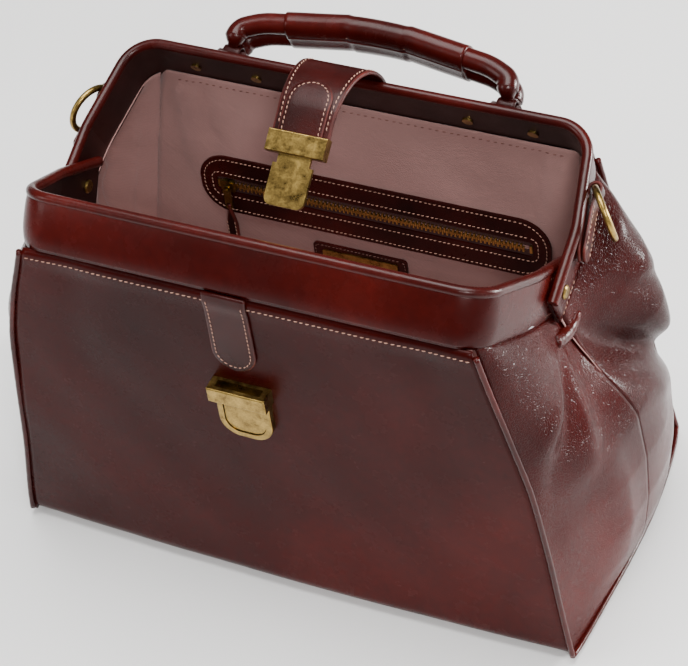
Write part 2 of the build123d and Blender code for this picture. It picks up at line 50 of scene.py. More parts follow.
# ======================= materials =======================================
class M:
    """Small helper for node materials."""

    def __init__(self, name):
        self.m = bpy.data.materials.new(name)
        self.m.use_nodes = True
        self.nt = self.m.node_tree
        self.nt.nodes.clear()
        self.out = self.nt.nodes.new("ShaderNodeOutputMaterial")
        self.p = self.nt.nodes.new("ShaderNodeBsdfPrincipled")
        self.nt.links.new(self.p.outputs[0], self.out.inputs[0])
        self.tc = self.nt.nodes.new("ShaderNodeTexCoord")

    def n(self, kind, **kw):
        node = self.nt.nodes.new(kind)
        for k, v in kw.items():
            if k.startswith("i_"):
                node.inputs[k[2:].replace("_", " ")].default_value = v
            else:
                setattr(node, k, v)
        return node

    def l(self, a, b):
        self.nt.links.new(a, b)

    def mapping(self, scale, rot=(0, 0, 0), src="Object"):
        mp = self.n("ShaderNodeMapping")
        mp.inputs["Scale"].default_value = scale
        mp.inputs["Rotation"].default_value = rot
        self.l(self.tc.outputs[src], mp.inputs["Vector"])
        return mp.outputs[0]

    def noise(self, scale, detail=4.0, rough=0.55, vec=None, dist=0.0):
        t = self.n("ShaderNodeTexNoise")
        t.inputs["Scale"].default_value = scale
        t.inputs["Detail"].default_value = detail
        t.inputs["Roughness"].default_value = rough
        t.inputs["Distortion"].default_value = dist
        self.l(vec if vec is not None else self.tc.outputs["Object"], t.inputs["Vector"])
        return t.outputs["Fac"]

    def voronoi(self, scale, feature="F1", vec=None, rnd=1.0):
        t = self.n("ShaderNodeTexVoronoi", feature=feature)
        t.inputs["Scale"].default_value = scale
        t.inputs["Randomness"].default_value = rnd
        self.l(vec if vec is not None else self.tc.outputs["Object"], t.inputs["Vector"])
        return t.outputs["Distance"]

    def ramp(self, fac, stops):
        r = self.n("ShaderNodeValToRGB")
        e = r.color_ramp.elements
        while len(e) < len(stops):
            e.new(0.5)
        for el, (pos, col) in zip(e, stops):
            el.position = pos
            el.color = (*col, 1.0) if len(col) == 3 else col
        self.l(fac, r.inputs["Fac"])
        return r.outputs["Color"]

    def mix(self, fac, a, b, kind="MIX"):
        x = self.n("ShaderNodeMix", data_type="RGBA", blend_type=kind)
        if isinstance(fac, float):
            x.inputs[0].default_value = fac
        else:
            self.l(fac, x.inputs[0])
        for s, i in ((a, 6), (b, 7)):
            if isinstance(s, tuple):
                x.inputs[i].default_value = (*s, 1.0)
            else:
                self.l(s, x.inputs[i])
        return x.outputs[2]

    def math(self, op, a, b=None):
        x = self.n("ShaderNodeMath", operation=op)
        for i, s in enumerate((a, b)):
            if s is None:
                continue
            if isinstance(s, (int, float)):
                x.inputs[i].default_value = s
            else:
                self.l(s, x.inputs[i])
        return x.outputs[0]

    def range(self, v, a, b, c, d):
        x = self.n("ShaderNodeMapRange")
        for i, s in enumerate((a, b, c, d)):
            x.inputs[i + 1].default_value = s
        self.l(v, x.inputs[0])
        return x.outputs[0]

    def bump(self, h, strength, dist, normal=None):
        b = self.n("ShaderNodeBump")
        b.inputs["Strength"].default_value = strength
        b.inputs["Distance"].default_value = dist
        self.l(h, b.inputs["Height"])
        if normal is not None:
            self.l(normal, b.inputs["Normal"])
        return b.outputs[0]


def leather(name, dark, mid, light, pebble=900.0, grain=0.25, rough=(0.24, 0.40), coat=0.35, coat_rough=0.18, mottle=14.0, spec=0.25):
    m = M(name)
    big = m.noise(mottle, 3.0, 0.5, dist=0.2)
    col = m.ramp(big, [(0.30, dark), (0.52, mid), (0.74, light)])
    fine = m.noise(160.0, 4.0, 0.6)
    col = m.mix(m.range(fine, 0.35, 0.75, 0.0, 0.35), col, tuple(c * 0.55 for c in dark))
    cells = m.voronoi(pebble)
    edge = m.voronoi(pebble, feature="DISTANCE_TO_EDGE")
    crack = m.range(edge, 0.0, 0.12, 0.0, 1.0)
    col = m.mix(m.range(crack, 0.0, 1.0, 0.22, 0.0), col, tuple(c * 0.4 for c in dark))
    m.l(col, m.p.inputs["Base Color"])
    m.l(m.range(m.noise(35.0, 5.0, 0.65), 0.3, 0.7, rough[0], rough[1]), m.p.inputs["Roughness"])
    pores = m.noise(2600.0, 2.0, 0.5)
    wav = m.noise(95.0, 3.0, 0.5)
    h = m.math("ADD", m.math("MULTIPLY", crack, 0.7), m.math("MULTIPLY", pores, 0.25))
    b1 = m.bump(wav, 0.07, 0.0012)
    b2 = m.bump(h, grain, 0.00035, b1)
    m.l(b2, m.p.inputs["Normal"])
    m.p.inputs["Coat Weight"].default_value = coat
    m.p.inputs["Coat Roughness"].default_value = coat_rough
    m.p.inputs["Coat IOR"].default_value = 1.5
    m.p.inputs["Specular IOR Level"].default_value = spec
    return m.m


OX_D, OX_M, OX_L = (0.020, 0.0014, 0.0011), (0.044, 0.0026, 0.0019), (0.082, 0.0050, 0.0034)
L_BODY = leather("oxblood_leather", OX_D, OX_M, OX_L, 820.0, 0.16, (0.20, 0.32), 0.02, 0.14, 5.5, 0.08)
L_GUSSET = leather("oxblood_gusset", OX_D, OX_M, OX_L, 620.0, 0.55, (0.17, 0.26), 0.03, 0.14, 6.0, 0.10)
L_BAND = leather("oxblood_band", (0.024, 0.0018, 0.0014), (0.048, 0.0030, 0.0022), (0.085, 0.0056, 0.0038), 1000.0, 0.14, (0.20, 0.32), 0.05, 0.15, 9.0, 0.13)
# frame facings inside the mouth: the same oxblood leather made much darker than the body, painted shade for the
# inside of the mouth
L_FACE_SHADED = leather("oxblood_facing_shaded", (0.007, 0.0013, 0.0012), (0.018, 0.0030, 0.0026), (0.034, 0.0055, 0.0045), 1000.0, 0.30, (0.36, 0.5), 0.05, 0.3, 16.0)
L_STRAP = leather("oxblood_strap", (0.012, 0.0014, 0.0012), (0.038, 0.0036, 0.0028), (0.082, 0.0078, 0.0054), 900.0, 0.25, (0.24, 0.38), 0.05, 0.17, 14.0, 0.14)
L_ROLL = leather("oxblood_rolled", (0.022, 0.0018, 0.0014), (0.046, 0.0032, 0.0023), (0.085, 0.0062, 0.0042), 1100.0, 0.15, (0.18, 0.30), 0.08, 0.12, 12.0, 0.2)
L_EDGE = leather("painted_edge", (0.030, 0.0040, 0.0030), (0.075, 0.0088, 0.0065), (0.14, 0.018, 0.012), 1500.0, 0.25, (0.35, 0.55), 0.05, 0.3, 60.0)


def make_lining(name, base, twill=True):
    m = M(name)
    uv = m.n("ShaderNodeUVMap")
    uv.uv_map = "UVMap"
    dark = tuple(c * 0.70 for c in base)
    light = tuple(min(1.0, c * 1.18) for c in base)
    big = m.noise(11.0, 4.0, 0.55)
    col = m.ramp(big, [(0.30, tuple(c * 0.84 for c in base)), (0.55, base), (0.75, light)])
    mp = m.n("ShaderNodeMapping")
    mp.inputs["Rotation"].default_value = (0, 0, T(52))
    m.l(uv.outputs[0], mp.inputs["Vector"])
    w = m.n("ShaderNodeTexWave", wave_type="BANDS", bands_direction="X", wave_profile="SIN")
    w.inputs["Scale"].default_value = 270.0
    w.inputs["Distortion"].default_value = 0.35
    w.inputs["Detail"].default_value = 1.5
    w.inputs["Detail Scale"].default_value = 3.0
    m.l(mp.outputs[0], w.inputs["Vector"])
    fine = m.noise(1500.0, 2.0, 0.6)
    col = m.mix(m.range(w.outputs["Fac"], 0.0, 1.0, 0.30, 0.0), col, dark)
    col = m.mix(m.range(fine, 0.35, 0.7, 0.0, 0.30), col, light)
    m.l(col, m.p.inputs["Base Color"])
    m.l(m.range(fine, 0.3, 0.7, 0.78, 0.95), m.p.inputs["Roughness"])
    m.p.inputs["Sheen Weight"].default_value = 0.25
    m.p.inputs["Sheen Roughness"].default_value = 0.5
    m.p.inputs["Specular IOR Level"].default_value = 0.2
    b0 = m.bump(m.noise(38.0, 4.0, 0.62), 0.6, 0.0026)
    b1 = m.bump(w.outputs["Fac"], 0.35, 0.0003, b0)
    b2 = m.bump(fine, 0.25, 0.0002, b1)
    m.l(b2, m.p.inputs["Normal"])
    return m.m


LINING = make_lining("twill_lining", (0.36, 0.195, 0.180))


def simple_metal(name, base, dark, rough, scale=90.0, tarnish=0.5):
    m = M(name)
    a = m.noise(scale, 6.0, 0.65, dist=0.3)
    b = m.noise(scale * 7, 3.0, 0.6)
    f = m.range(m.math("ADD", m.math("MULTIPLY", a, 0.7), m.math("MULTIPLY", b, 0.3)), 0.38, 0.62, tarnish, 0.0)
    col = m.mix(f, base, dark)
    m.l(col, m.p.inputs["Base Color"])
    m.p.inputs["Metallic"].default_value = 1.0
    m.l(m.range(a, 0.3, 0.7, rough[0], rough[1]), m.p.inputs["Roughness"])
    sc = m.noise(900.0, 2.0, 0.5, m.mapping((1.0, 1.0, 0.12)))
    m.l(m.bump(sc, 0.10, 0.0002, m.bump(a, 0.12, 0.0005)), m.p.inputs["Normal"])
    return m.m


BRASS = simple_metal("antique_brass", (0.43, 0.29, 0.085), (0.11, 0.066, 0.018), (0.24, 0.40), 120.0, 0.85)
TEETH = simple_metal("zip_brass", (0.62, 0.42, 0.13), (0.28, 0.17, 0.05), (0.28, 0.42), 200.0, 0.5)
STEEL = simple_metal("spring_steel", (0.42, 0.43, 0.45), (0.2, 0.2, 0.21), (0.3, 0.5))


def cloth(name, base, scale=700.0, rough=(0.75, 0.92)):
    m = M(name)
    n1 = m.noise(scale, 3.0, 0.6)
    n2 = m.noise(60.0, 3.0, 0.6)
    col = m.mix(m.range(n1, 0.35, 0.7, 0.0, 0.6), base, tuple(c * 0.6 for c in base))
    col = m.mix(m.range(n2, 0.35, 0.7, 0.0, 0.35), col, tuple(min(1, c * 1.3) for c in base))
    m.l(col, m.p.inputs["Base Color"])
    m.l(m.range(n1, 0.3, 0.7, rough[0], rough[1]), m.p.inputs["Roughness"])
    m.l(m.bump(n1, 0.5, 0.0003), m.p.inputs["Normal"])
    return m.m


THREAD = cloth("pink_beige_thread", (0.42, 0.235, 0.175), 1800.0)
THREAD_DK = cloth("dark_thread", (0.20, 0.085, 0.07), 1800.0)
TAPE = cloth("zip_tape_cloth", (0.050, 0.016, 0.015), 900.0)
CORE = cloth("core_cord_fibre", (0.45, 0.33, 0.22), 800.0)
BOARD = cloth("stiffener_board", (0.16, 0.11, 0.08), 300.0)


# ======================= mesh helpers ====================================
def new_obj(name, verts, faces, mats, fmat=None, uvs=None, smooth=True):
    me = bpy.data.meshes.new(name)
    me.from_pydata([tuple(v) for v in (np.asarray(verts) * 0.001)], [], [tuple(f) for f in faces])
    ob = bpy.data.objects.new(name, me)
    bpy.context.scene.collection.objects.link(ob)
    for m in (mats if isinstance(mats, (list, tuple)) else [mats]):
        me.materials.append(m)
    if fmat is not None:
        me.polygons.foreach_set("material_index", np.asarray(fmat, np.int32))
    me.polygons.foreach_set("use_smooth", np.full(len(me.polygons), smooth, bool))
    if uvs is not None:
        ul = me.uv_layers.new(name="UVMap")
        idx = np.empty(len(me.loops), np.int32)
        me.loops.foreach_get("vertex_index", idx)
        ul.data.foreach_set("uv", (np.asarray(uvs)[idx] * 0.001).astype(np.float32).ravel())
    me.validate()
    me.update()
    return ob


def grid_normals(P):
    n = np.cross(np.gradient(P, axis=1), np.gradient(P, axis=0))
    return n / (np.linalg.norm(n, axis=2, keepdims=True) + 1e-12)


def slab(name, P, t, mats, flip=False, edge_mat=None):
    """Curved sheet: P[v][u] is the shown face, t its thickness behind it."""
    P = np.asarray(P, float)
    n = grid_normals(P) * (-1 if flip else 1)
    nv, nu = P.shape[:2]
    V = np.concatenate([P.reshape(-1, 3), (P - n * t).reshape(-1, 3)])
    N = nv * nu
    su = np.concatenate([[0], np.cumsum(np.linalg.norm(np.diff(P[nv // 2], axis=0), axis=1))])
    sv = np.concatenate([[0], np.cumsum(np.linalg.norm(np.diff(P[:, nu // 2], axis=0), axis=1))])
    UV = np.stack(np.meshgrid(su, sv), -1).reshape(-1, 2)
    UV = np.concatenate([UV, UV])
    F, FM = [], []

    def add(q, m=0):
        F.append(q if not flip else q[::-1])
        FM.append(m)
    for i in range(nv - 1):
        for j in range(nu - 1):
            a, b, c, d = i * nu + j, i * nu + j + 1, (i + 1) * nu + j + 1, (i + 1) * nu + j
            add((a, b, c, d))
            add((N + d, N + c, N + b, N + a))
    em = 1 if edge_mat is not None else 0
    for j in range(nu - 1):
        add((j, N + j, N + j + 1, j + 1), em)
        a = (nv - 1) * nu + j
        add((a + 1, N + a + 1, N + a, a), em)
    for i in range(nv - 1):
        a = i * nu
        b = (i + 1) * nu
        add((b, N + b, N + a, a), em)
        a = i * nu + nu - 1
        b = (i + 1) * nu + nu - 1
        add((a, N + a, N + b, b), em)
    return new_obj(name, V, F, [mats] + ([edge_mat] if edge_mat is not None else []), FM, UV)


def area_of(P):
    P = np.asarray(P, float) * 0.001
    a, b, c, d = P[:-1, :-1], P[:-1, 1:], P[1:, 1:], P[1:, :-1]
    return float((np.linalg.norm(np.cross(b - a, c - a), axis=2).sum() + np.linalg.norm(np.cross(c - a, d - a), axis=2).sum()) / 2)


def loft(name, rings, mats, fmat=None, caps=True, uv=True):
    """Closed rings of points, n rings of m points."""
    R = np.asarray(rings, float)
    n, m = R.shape[:2]
    V = R.reshape(-1, 3)
    F, FM = [], []
    for i in range(n - 1):
        for j in range(m):
            k = (j + 1) % m
            F.append((i * m + j, i * m + k, (i + 1) * m + k, (i + 1) * m + j))
            FM.append(0 if fmat is None else fmat[j])
    if caps:
        F.append(tuple(range(m))[::-1])
        FM.append(0)
        F.append(tuple((n - 1) * m + j for j in range(m)))
        FM.append(0)
    ob = new_obj(name, V, F, mats, FM)
    return ob


def ribbon_rings(C, A, B, half, t, k=5):
    """Flat strip with rounded edges. C centre line, A sideways, B up, half widths, thickness."""
    C, A, B = (np.asarray(x, float) for x in (C, A, B))
    half = np.broadcast_to(half, len(C))
    rings, kind = [], []
    prof = []
    r = t / 2
    xs = np.linspace(-1, 1, 7)
    for x in xs:
        prof.append(("f", x, 1.0))
    for i in range(1, k):
        a = math.pi / 2 - math.pi * i / k
        prof.append(("e+", math.cos(a), math.sin(a)))
    for x in xs[::-1]:
        prof.append(("f", x, -1.0))
    for i in range(1, k):
        a = -math.pi / 2 - math.pi * i / k
        prof.append(("e-", math.cos(a), math.sin(a)))
    for c, a, b, h in zip(C, A, B, half):
        rr = min(r, h * 0.9)
        row = []
        for kd, x, y in prof:
            if kd == "f":
                row.append(c + a * (x * (h - rr)) + b * (y * r))
            elif kd == "e+":
                row.append(c + a * (h - rr + x * rr) + b * (y * r))
            else:
                row.append(c + a * (-(h - rr) + x * rr) + b * (y * r))
        rings.append(row)
    m = len(prof)
    fm = [1 if (prof[j][0] != "f" or prof[(j + 1) % m][0] != "f") else 0 for j in range(m)]
    return rings, fm


def frames_along(pts, up):
    """Tangents, sideways and up vectors of a centre line."""
    P = np.asarray(pts, float)
    t = np.gradient(P, axis=0)
    t /= np.linalg.norm(t, axis=1, keepdims=True)
    up = np.broadcast_to(np.asarray(up, float), P.shape)
    a = np.cross(t, up)
    a /= np.linalg.norm(a, axis=1, keepdims=True)
    b = np.cross(a, t)
    return t, a, b


def resample(pts, step):
    P = np.asarray(pts, float)
    s = np.concatenate([[0], np.cumsum(np.linalg.norm(np.diff(P, axis=0), axis=1))])
    n = max(2, int(round(s[-1] / step)) + 1)
    q = np.linspace(0, s[-1], n)
    return np.stack([np.interp(q, s, P[:, k]) for k in range(P.shape[1])], 1)


def soften(P, it=3, keep_ends=True):
    P = np.array(P, float)
    for _ in range(it):
        Q = P.copy()
        Q[1:-1] = (P[:-2] + 2 * P[1:-1] + P[2:]) / 4
        P = Q
    return P


def tube(name, pts, r, mat, up=(0, 0, 1), m=14, bump=0.0, caps=True):
    P = np.asarray(pts, float)
    t = np.gradient(P, axis=0)
    t /= np.linalg.norm(t, axis=1, keepdims=True)
    a = np.cross(t[0], np.array(up, float))
    a /= np.linalg.norm(a)
    rings = []
    for i, (c, tt) in enumerate(zip(P, t)):
        a = a - tt * a.dot(tt)
        a /= np.linalg.norm(a)
        b = np.cross(tt, a)
        rr = (r if np.isscalar(r) else r[i]) * (1 + bump * math.sin(i * 1.7) * math.sin(i * 0.37))
        rings.append([c + (a * math.cos(q) + b * math.sin(q)) * rr for q in np.linspace(0, 2 * math.pi, m, endpoint=False)])
    return loft(name, rings, mat, caps=caps)


def stitch_mesh(name, runs, pitch=3.7, length=2.7, r=0.42, mat=None, slant=0.16):
    """Runs of thread: each run is (points, normals); stitches lie on the surface."""
    V, F = [], []
    for pts, nrm in runs:
        P = np.asarray(pts, float)
        N = np.broadcast_to(np.asarray(nrm, float), P.shape)
        s = np.concatenate([[0], np.cumsum(np.linalg.norm(np.diff(P, axis=0), axis=1))])
        k = int(s[-1] // pitch)
        if k < 1:
            continue
        off = (s[-1] - k * pitch) / 2
        for i in range(k):
            c = off + (i + 0.5) * pitch + 0.18 * math.sin(i * 2.3)
            q = [np.array([np.interp(c + d, s, P[:, a]) for a in range(3)]) for d in (-length / 2, 0, length / 2)]
            n = np.array([np.interp(c, s, N[:, a]) for a in range(3)])
            n /= np.linalg.norm(n)
            tt = q[2] - q[0]
            tt /= np.linalg.norm(tt)
            side = np.cross(n, tt)
            tt2 = tt + side * (slant + 0.05 * math.sin(i * 1.3))
            tt2 /= np.linalg.norm(tt2)
            side = np.cross(n, tt2)
            base = len(V)
            for d, rr, lift in ((-0.5, 0.25, -0.25), (-0.3, 0.9, 0.12), (0.0, 1.0, 0.3), (0.3, 0.9, 0.12), (0.5, 0.25, -0.25)):
                cc = q[1] + tt2 * (d * length) + n * (lift * r + 0.05)
                for a in range(6):
                    an = a * math.pi / 3
                    V.append(cc + side * (math.cos(an) * r * rr) + n * (math.sin(an) * r * rr))
            for j in range(4):
                for a in range(6):
                    b = (a + 1) % 6
                    F.append((base + j * 6 + a, base + j * 6 + b, base + (j + 1) * 6 + b, base + (j + 1) * 6 + a))
            F.append(tuple(base + a for a in range(6))[::-1])
            F.append(tuple(base + 24 + a for a in range(6)))
    return new_obj(name, V, F, [mat or THREAD])


def wob(x, y, z, seed=0.0):
    """Smooth, fixed unevenness from sums of sines, about -1..1."""
    return (np.sin(x * 0.021 + 1.3 * seed + 0.013 * z) * np.cos(z * 0.027 + seed + 0.011 * y)
            + 0.6 * np.sin(x * 0.047 - z * 0.039 + 2.1 * seed) * np.cos(y * 0.043 + 0.7 * seed)
            + 0.35 * np.sin(x * 0.083 + z * 0.071 + y * 0.063 + 3.7 * seed)) / 1.6


def curve_of(pts):
    zs = np.array([p[0] for p in pts], float)
    xs = np.array([p[1] for p in pts], float)
    d = np.linspace(zs[0], zs[-1], 160)
    v = np.interp(d, zs, xs)
    for _ in range(60):
        w = v.copy()
        w[1:-1] = (v[:-2] + 2 * v[1:-1] + v[2:]) / 4
        v = w
    return lambda z: np.interp(z, d, v)


# ======================= the frames ======================================
PY, PZ = -14.2, 237.4
LF, WF = np.array([0, -.86163, .50754]), np.array([0, -.50754, -.86163])
LR, WR = np.array([0, .90557, .42420]), np.array([0, .42420, -.90557])
PIV = np.array([0, PY, PZ])
SL = 10.0 / 63.6


def onf(front, x, l, w):
    L, W = (LF, WF) if front else (LR, WR)
    return PIV + np.array([x, 0, 0]) + L * l + W * w


def hoop(x0, n_arc=14, low=-14.0):
    """Inner outline of a frame from its right foot to its left foot: points and outward normals in (x, l)."""
    nx = math.hypot(1, SL)
    th = math.atan(SL)
    pts, nrm = [], []
    for l in np.linspace(low, 24, 8):
        pts.append((x0, l)); nrm.append(0.0)
    for q in np.linspace(0.15, 0.85, 4):
        l = 24 + 22 * q
        pts.append((x0 - SL * max(0, (l - 35)) - (0.35 if 30 < l < 40 else 0.1), l)); nrm.append(th * q)
    lc = 98.6 - 20
    xc = x0 - SL * (lc - 35) - 20 * nx
    lend = lc + 20 * math.sin(th)
    for l in np.linspace(48, lend, 6):
        pts.append((x0 - SL * (l - 35), l)); nrm.append(th)
    for a in np.linspace(th, math.pi / 2, n_arc)[1:]:
        pts.append((xc + 20 * math.cos(a), lc + 20 * math.sin(a))); nrm.append(a)
    for x in np.linspace(xc, 0, 16)[1:]:
        pts.append((x, 98.6)); nrm.append(math.pi / 2)
    pts = np.array(pts)
    N = np.stack([np.cos(nrm), np.sin(nrm)], 1)
    Lp = pts[::-1][1:] * [-1, 1]
    Ln = N[::-1][1:] * [-1, 1]
    return np.concatenate([pts, Lp]), np.concatenate([N, Ln])


def hoop_loft(name, x0, front, prof, mats, sel=None, fmat=None, wfun=None):
    pts, N = hoop(x0)
    if sel is not None:
        keep = sel(pts)
        pts, N = pts[keep], N[keep]
    rings = []
    for k, (p, n) in enumerate(zip(pts, N)):
        ring = []
        for o, w in prof:
            if wfun is not None:
                o, w = wfun(k, p, o, w)
            q = p + n * o
            ring.append(onf(front, q[0], q[1], w))
        rings.append(ring)
    if not front:
        rings = [r[::-1] for r in rings]
    return loft(name, rings, mats, fmat)


def cover_prof(front):
    """Leather wrap round the strip: softly crowned outside, turned in at the seam edge."""
    pr = []
    for t in np.linspace(-1, 1, 15):
        w = 2.9 + 16.6 * t
        o = 4.62 - (1.1 * abs(t) ** 3 if t < 0 else 2.3 * abs(t) ** 2.6)
        pr.append((o, w))
    pr += [(2.2, 19.2), (1.75, 18.0), (1.62, 8.0), (1.62, -6.0), (1.75, -12.6), (2.3, -13.5)]
    return pr


def ripple(k, p, o, w):
    if o > 2.6 and p[1] > 40:
        o += 0.16 * math.sin(p[0] * 0.061 + w * 0.11) * math.sin(p[0] * 0.019 + 1.1)
    return o, w


fc = hoop_loft("front_band", 159.8, True, cover_prof(True), [L_BAND], wfun=ripple)
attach(fc, "front_frame"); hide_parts("front_frame_cover")
rc = hoop_loft("rear_band", 165.2, False, cover_prof(False), [L_BAND], wfun=ripple)
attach(rc, "rear_frame"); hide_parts("rear_frame_cover")

# ======================= the body: a sagging lofted shell ================
XR = curve_of([(0, 199), (20, 196), (60, 191), (96, 187), (158, 178), (213, 163.5), (240, 156), (258, 151.5), (271, 148.5)])
XL = curve_of([(0, 199), (17, 197.5), (79, 187), (136, 180), (188, 173), (230, 162), (256, 152.5), (271, 148)])


def fy(z):
    return -107.0 - 4.0 * z / 270.0


def front_y(x, z):
    u = np.clip(x / 190.0, -1, 1)
    v = np.clip(z / 270.0, 0, 1)
    y = fy(z) - (1 - u ** 2) * (4.2 * (1 - v) ** 2.2)
    # soft unevenness, calm round the lock
    calm = 1 - np.exp(-(((x + 8) / 36) ** 2 + ((z - 173) / 42) ** 2))
    y = y - 0.75 * wob(x, 0 * x, z, 0.4) * calm * np.sin(np.pi * np.clip(v, 0, 1)) ** 0.5
    # the turned edge at the seam stands a little proud
    y = y - 0.9 * np.exp(-((z - 264.5) / 5.0) ** 2) * (1 - 0.3 * u ** 2)
    # long shallow dents running down from the two top corners
    for sx in (-1, 1):
        y = y + 1.5 * np.exp(-(((x - sx * 118 - sx * (270 - z) * 0.10) / 15) ** 2)) * np.clip((z - 150) / 110, 0, 1) * np.clip((272 - z) / 18, 0, 1)
    return y


def front_grid(nu=97, inset=0.0):
    rows = []
    R = 14.0
    zt = 270.6
    zs = list(np.linspace(zt, R, 60))
    us = np.linspace(-1, 1, nu)
    for z in zs:
        x = np.where(us < 0, us * XL(z), us * XR(z))
        y = front_y(x, z)
        zz = np.full_like(x, z)
        if z > 269:
            y = y + (z - 269) * 0.9
        rows.append(np.stack([x, y, zz], 1))
    x = np.where(us < 0, us * XL(R), us * XR(R))
    y0 = front_y(x, R)
    for a in np.linspace(0, math.pi / 2, 9)[1:]:
        rows.append(np.stack([x * (1 + 0.012 * (1 - math.cos(a))), y0 + R - R * math.cos(a), np.full_like(x, R - (R - 0.4) * math.sin(a))], 1))
    return np.array(rows)


FG = front_grid()
fp = slab("front_leather", FG, 2.0, L_BODY, flip=True)
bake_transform(fp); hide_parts("front_panel")


def by(z):
    return 107.0 - 21.0 * z / 260.5


def bx(z):
    return 200.0 - 48.0 * z / 270.0


def back_grid(nu=81):
    rows = []
    us = np.linspace(-1, 1, nu)
    R = 14.0
    for z in np.linspace(261.5, R, 54):
        x = us * (bx(z) + 0.5)
        u = us
        v = z / 262.0
        y = by(z) + (1 - u ** 2) * (6.5 * np.sin(np.pi * min(1, v)) ** 0.9 * (1 - 0.3 * v)) + 0.9 * wob(x, 0 * x + 90, z, 1.9) * (1 - abs(u)) ** 0.3
        rows.append(np.stack([x, y, np.full_like(x, z)], 1))
    x = us * (bx(R) + 0.5)
    y0 = rows[-1][:, 1]
    for a in np.linspace(0, math.pi / 2, 9)[1:]:
        rows.append(np.stack([x * (1 + 0.012 * (1 - math.cos(a))), y0 - R + R * math.cos(a), np.full_like(x, R - (R - 0.4) * math.sin(a))], 1))
    return np.array(rows)


BG = back_grid()
bp = slab("back_leather", BG, 2.0, L_BODY, flip=False)
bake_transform(bp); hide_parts("back_panel")

# underside
us = np.linspace(-1, 1, 61)
ys = np.linspace(FG[-1, 48, 1] - 0.0, BG[-1, 40, 1], 41)
rows = []
for k, y in enumerate(ys):
    q = k / 40
    e = 200.5 + 6.0 * math.sin(math.pi * q)
    rows.append(np.stack([us * e, y + 0 * us, 0.45 + 0.0 * us + 0.35 * np.sin(math.pi * q) * (1 - us ** 2)], 1))
ub = slab("base_leather", np.array(rows), 2.0, L_BODY, flip=True)
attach(ub, "bag_body"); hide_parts("base_panel")

KZ = [3, 30, 60, 100, 155, 190, 212]
KX = {1: [207, 207, 206, 202, 185, 173, 165.6], -1: [206, 205, 203, 198, 182, 172, 165.6]}
KY = [-4, -5, -6, -8, -11, -13, -14.2]


def crease(s, q):
    z = 3 + 209 * q
    return np.array([np.interp(z, KZ, KX[s]), np.interp(z, KZ, KY), z])


def sstep(a, b, x):
    t = min(1.0, max(0.0, (x - a) / (b - a)))
    return t * t * (3 - 2 * t)


def fold(d, w):
    return math.exp(-(d / w) ** 2)


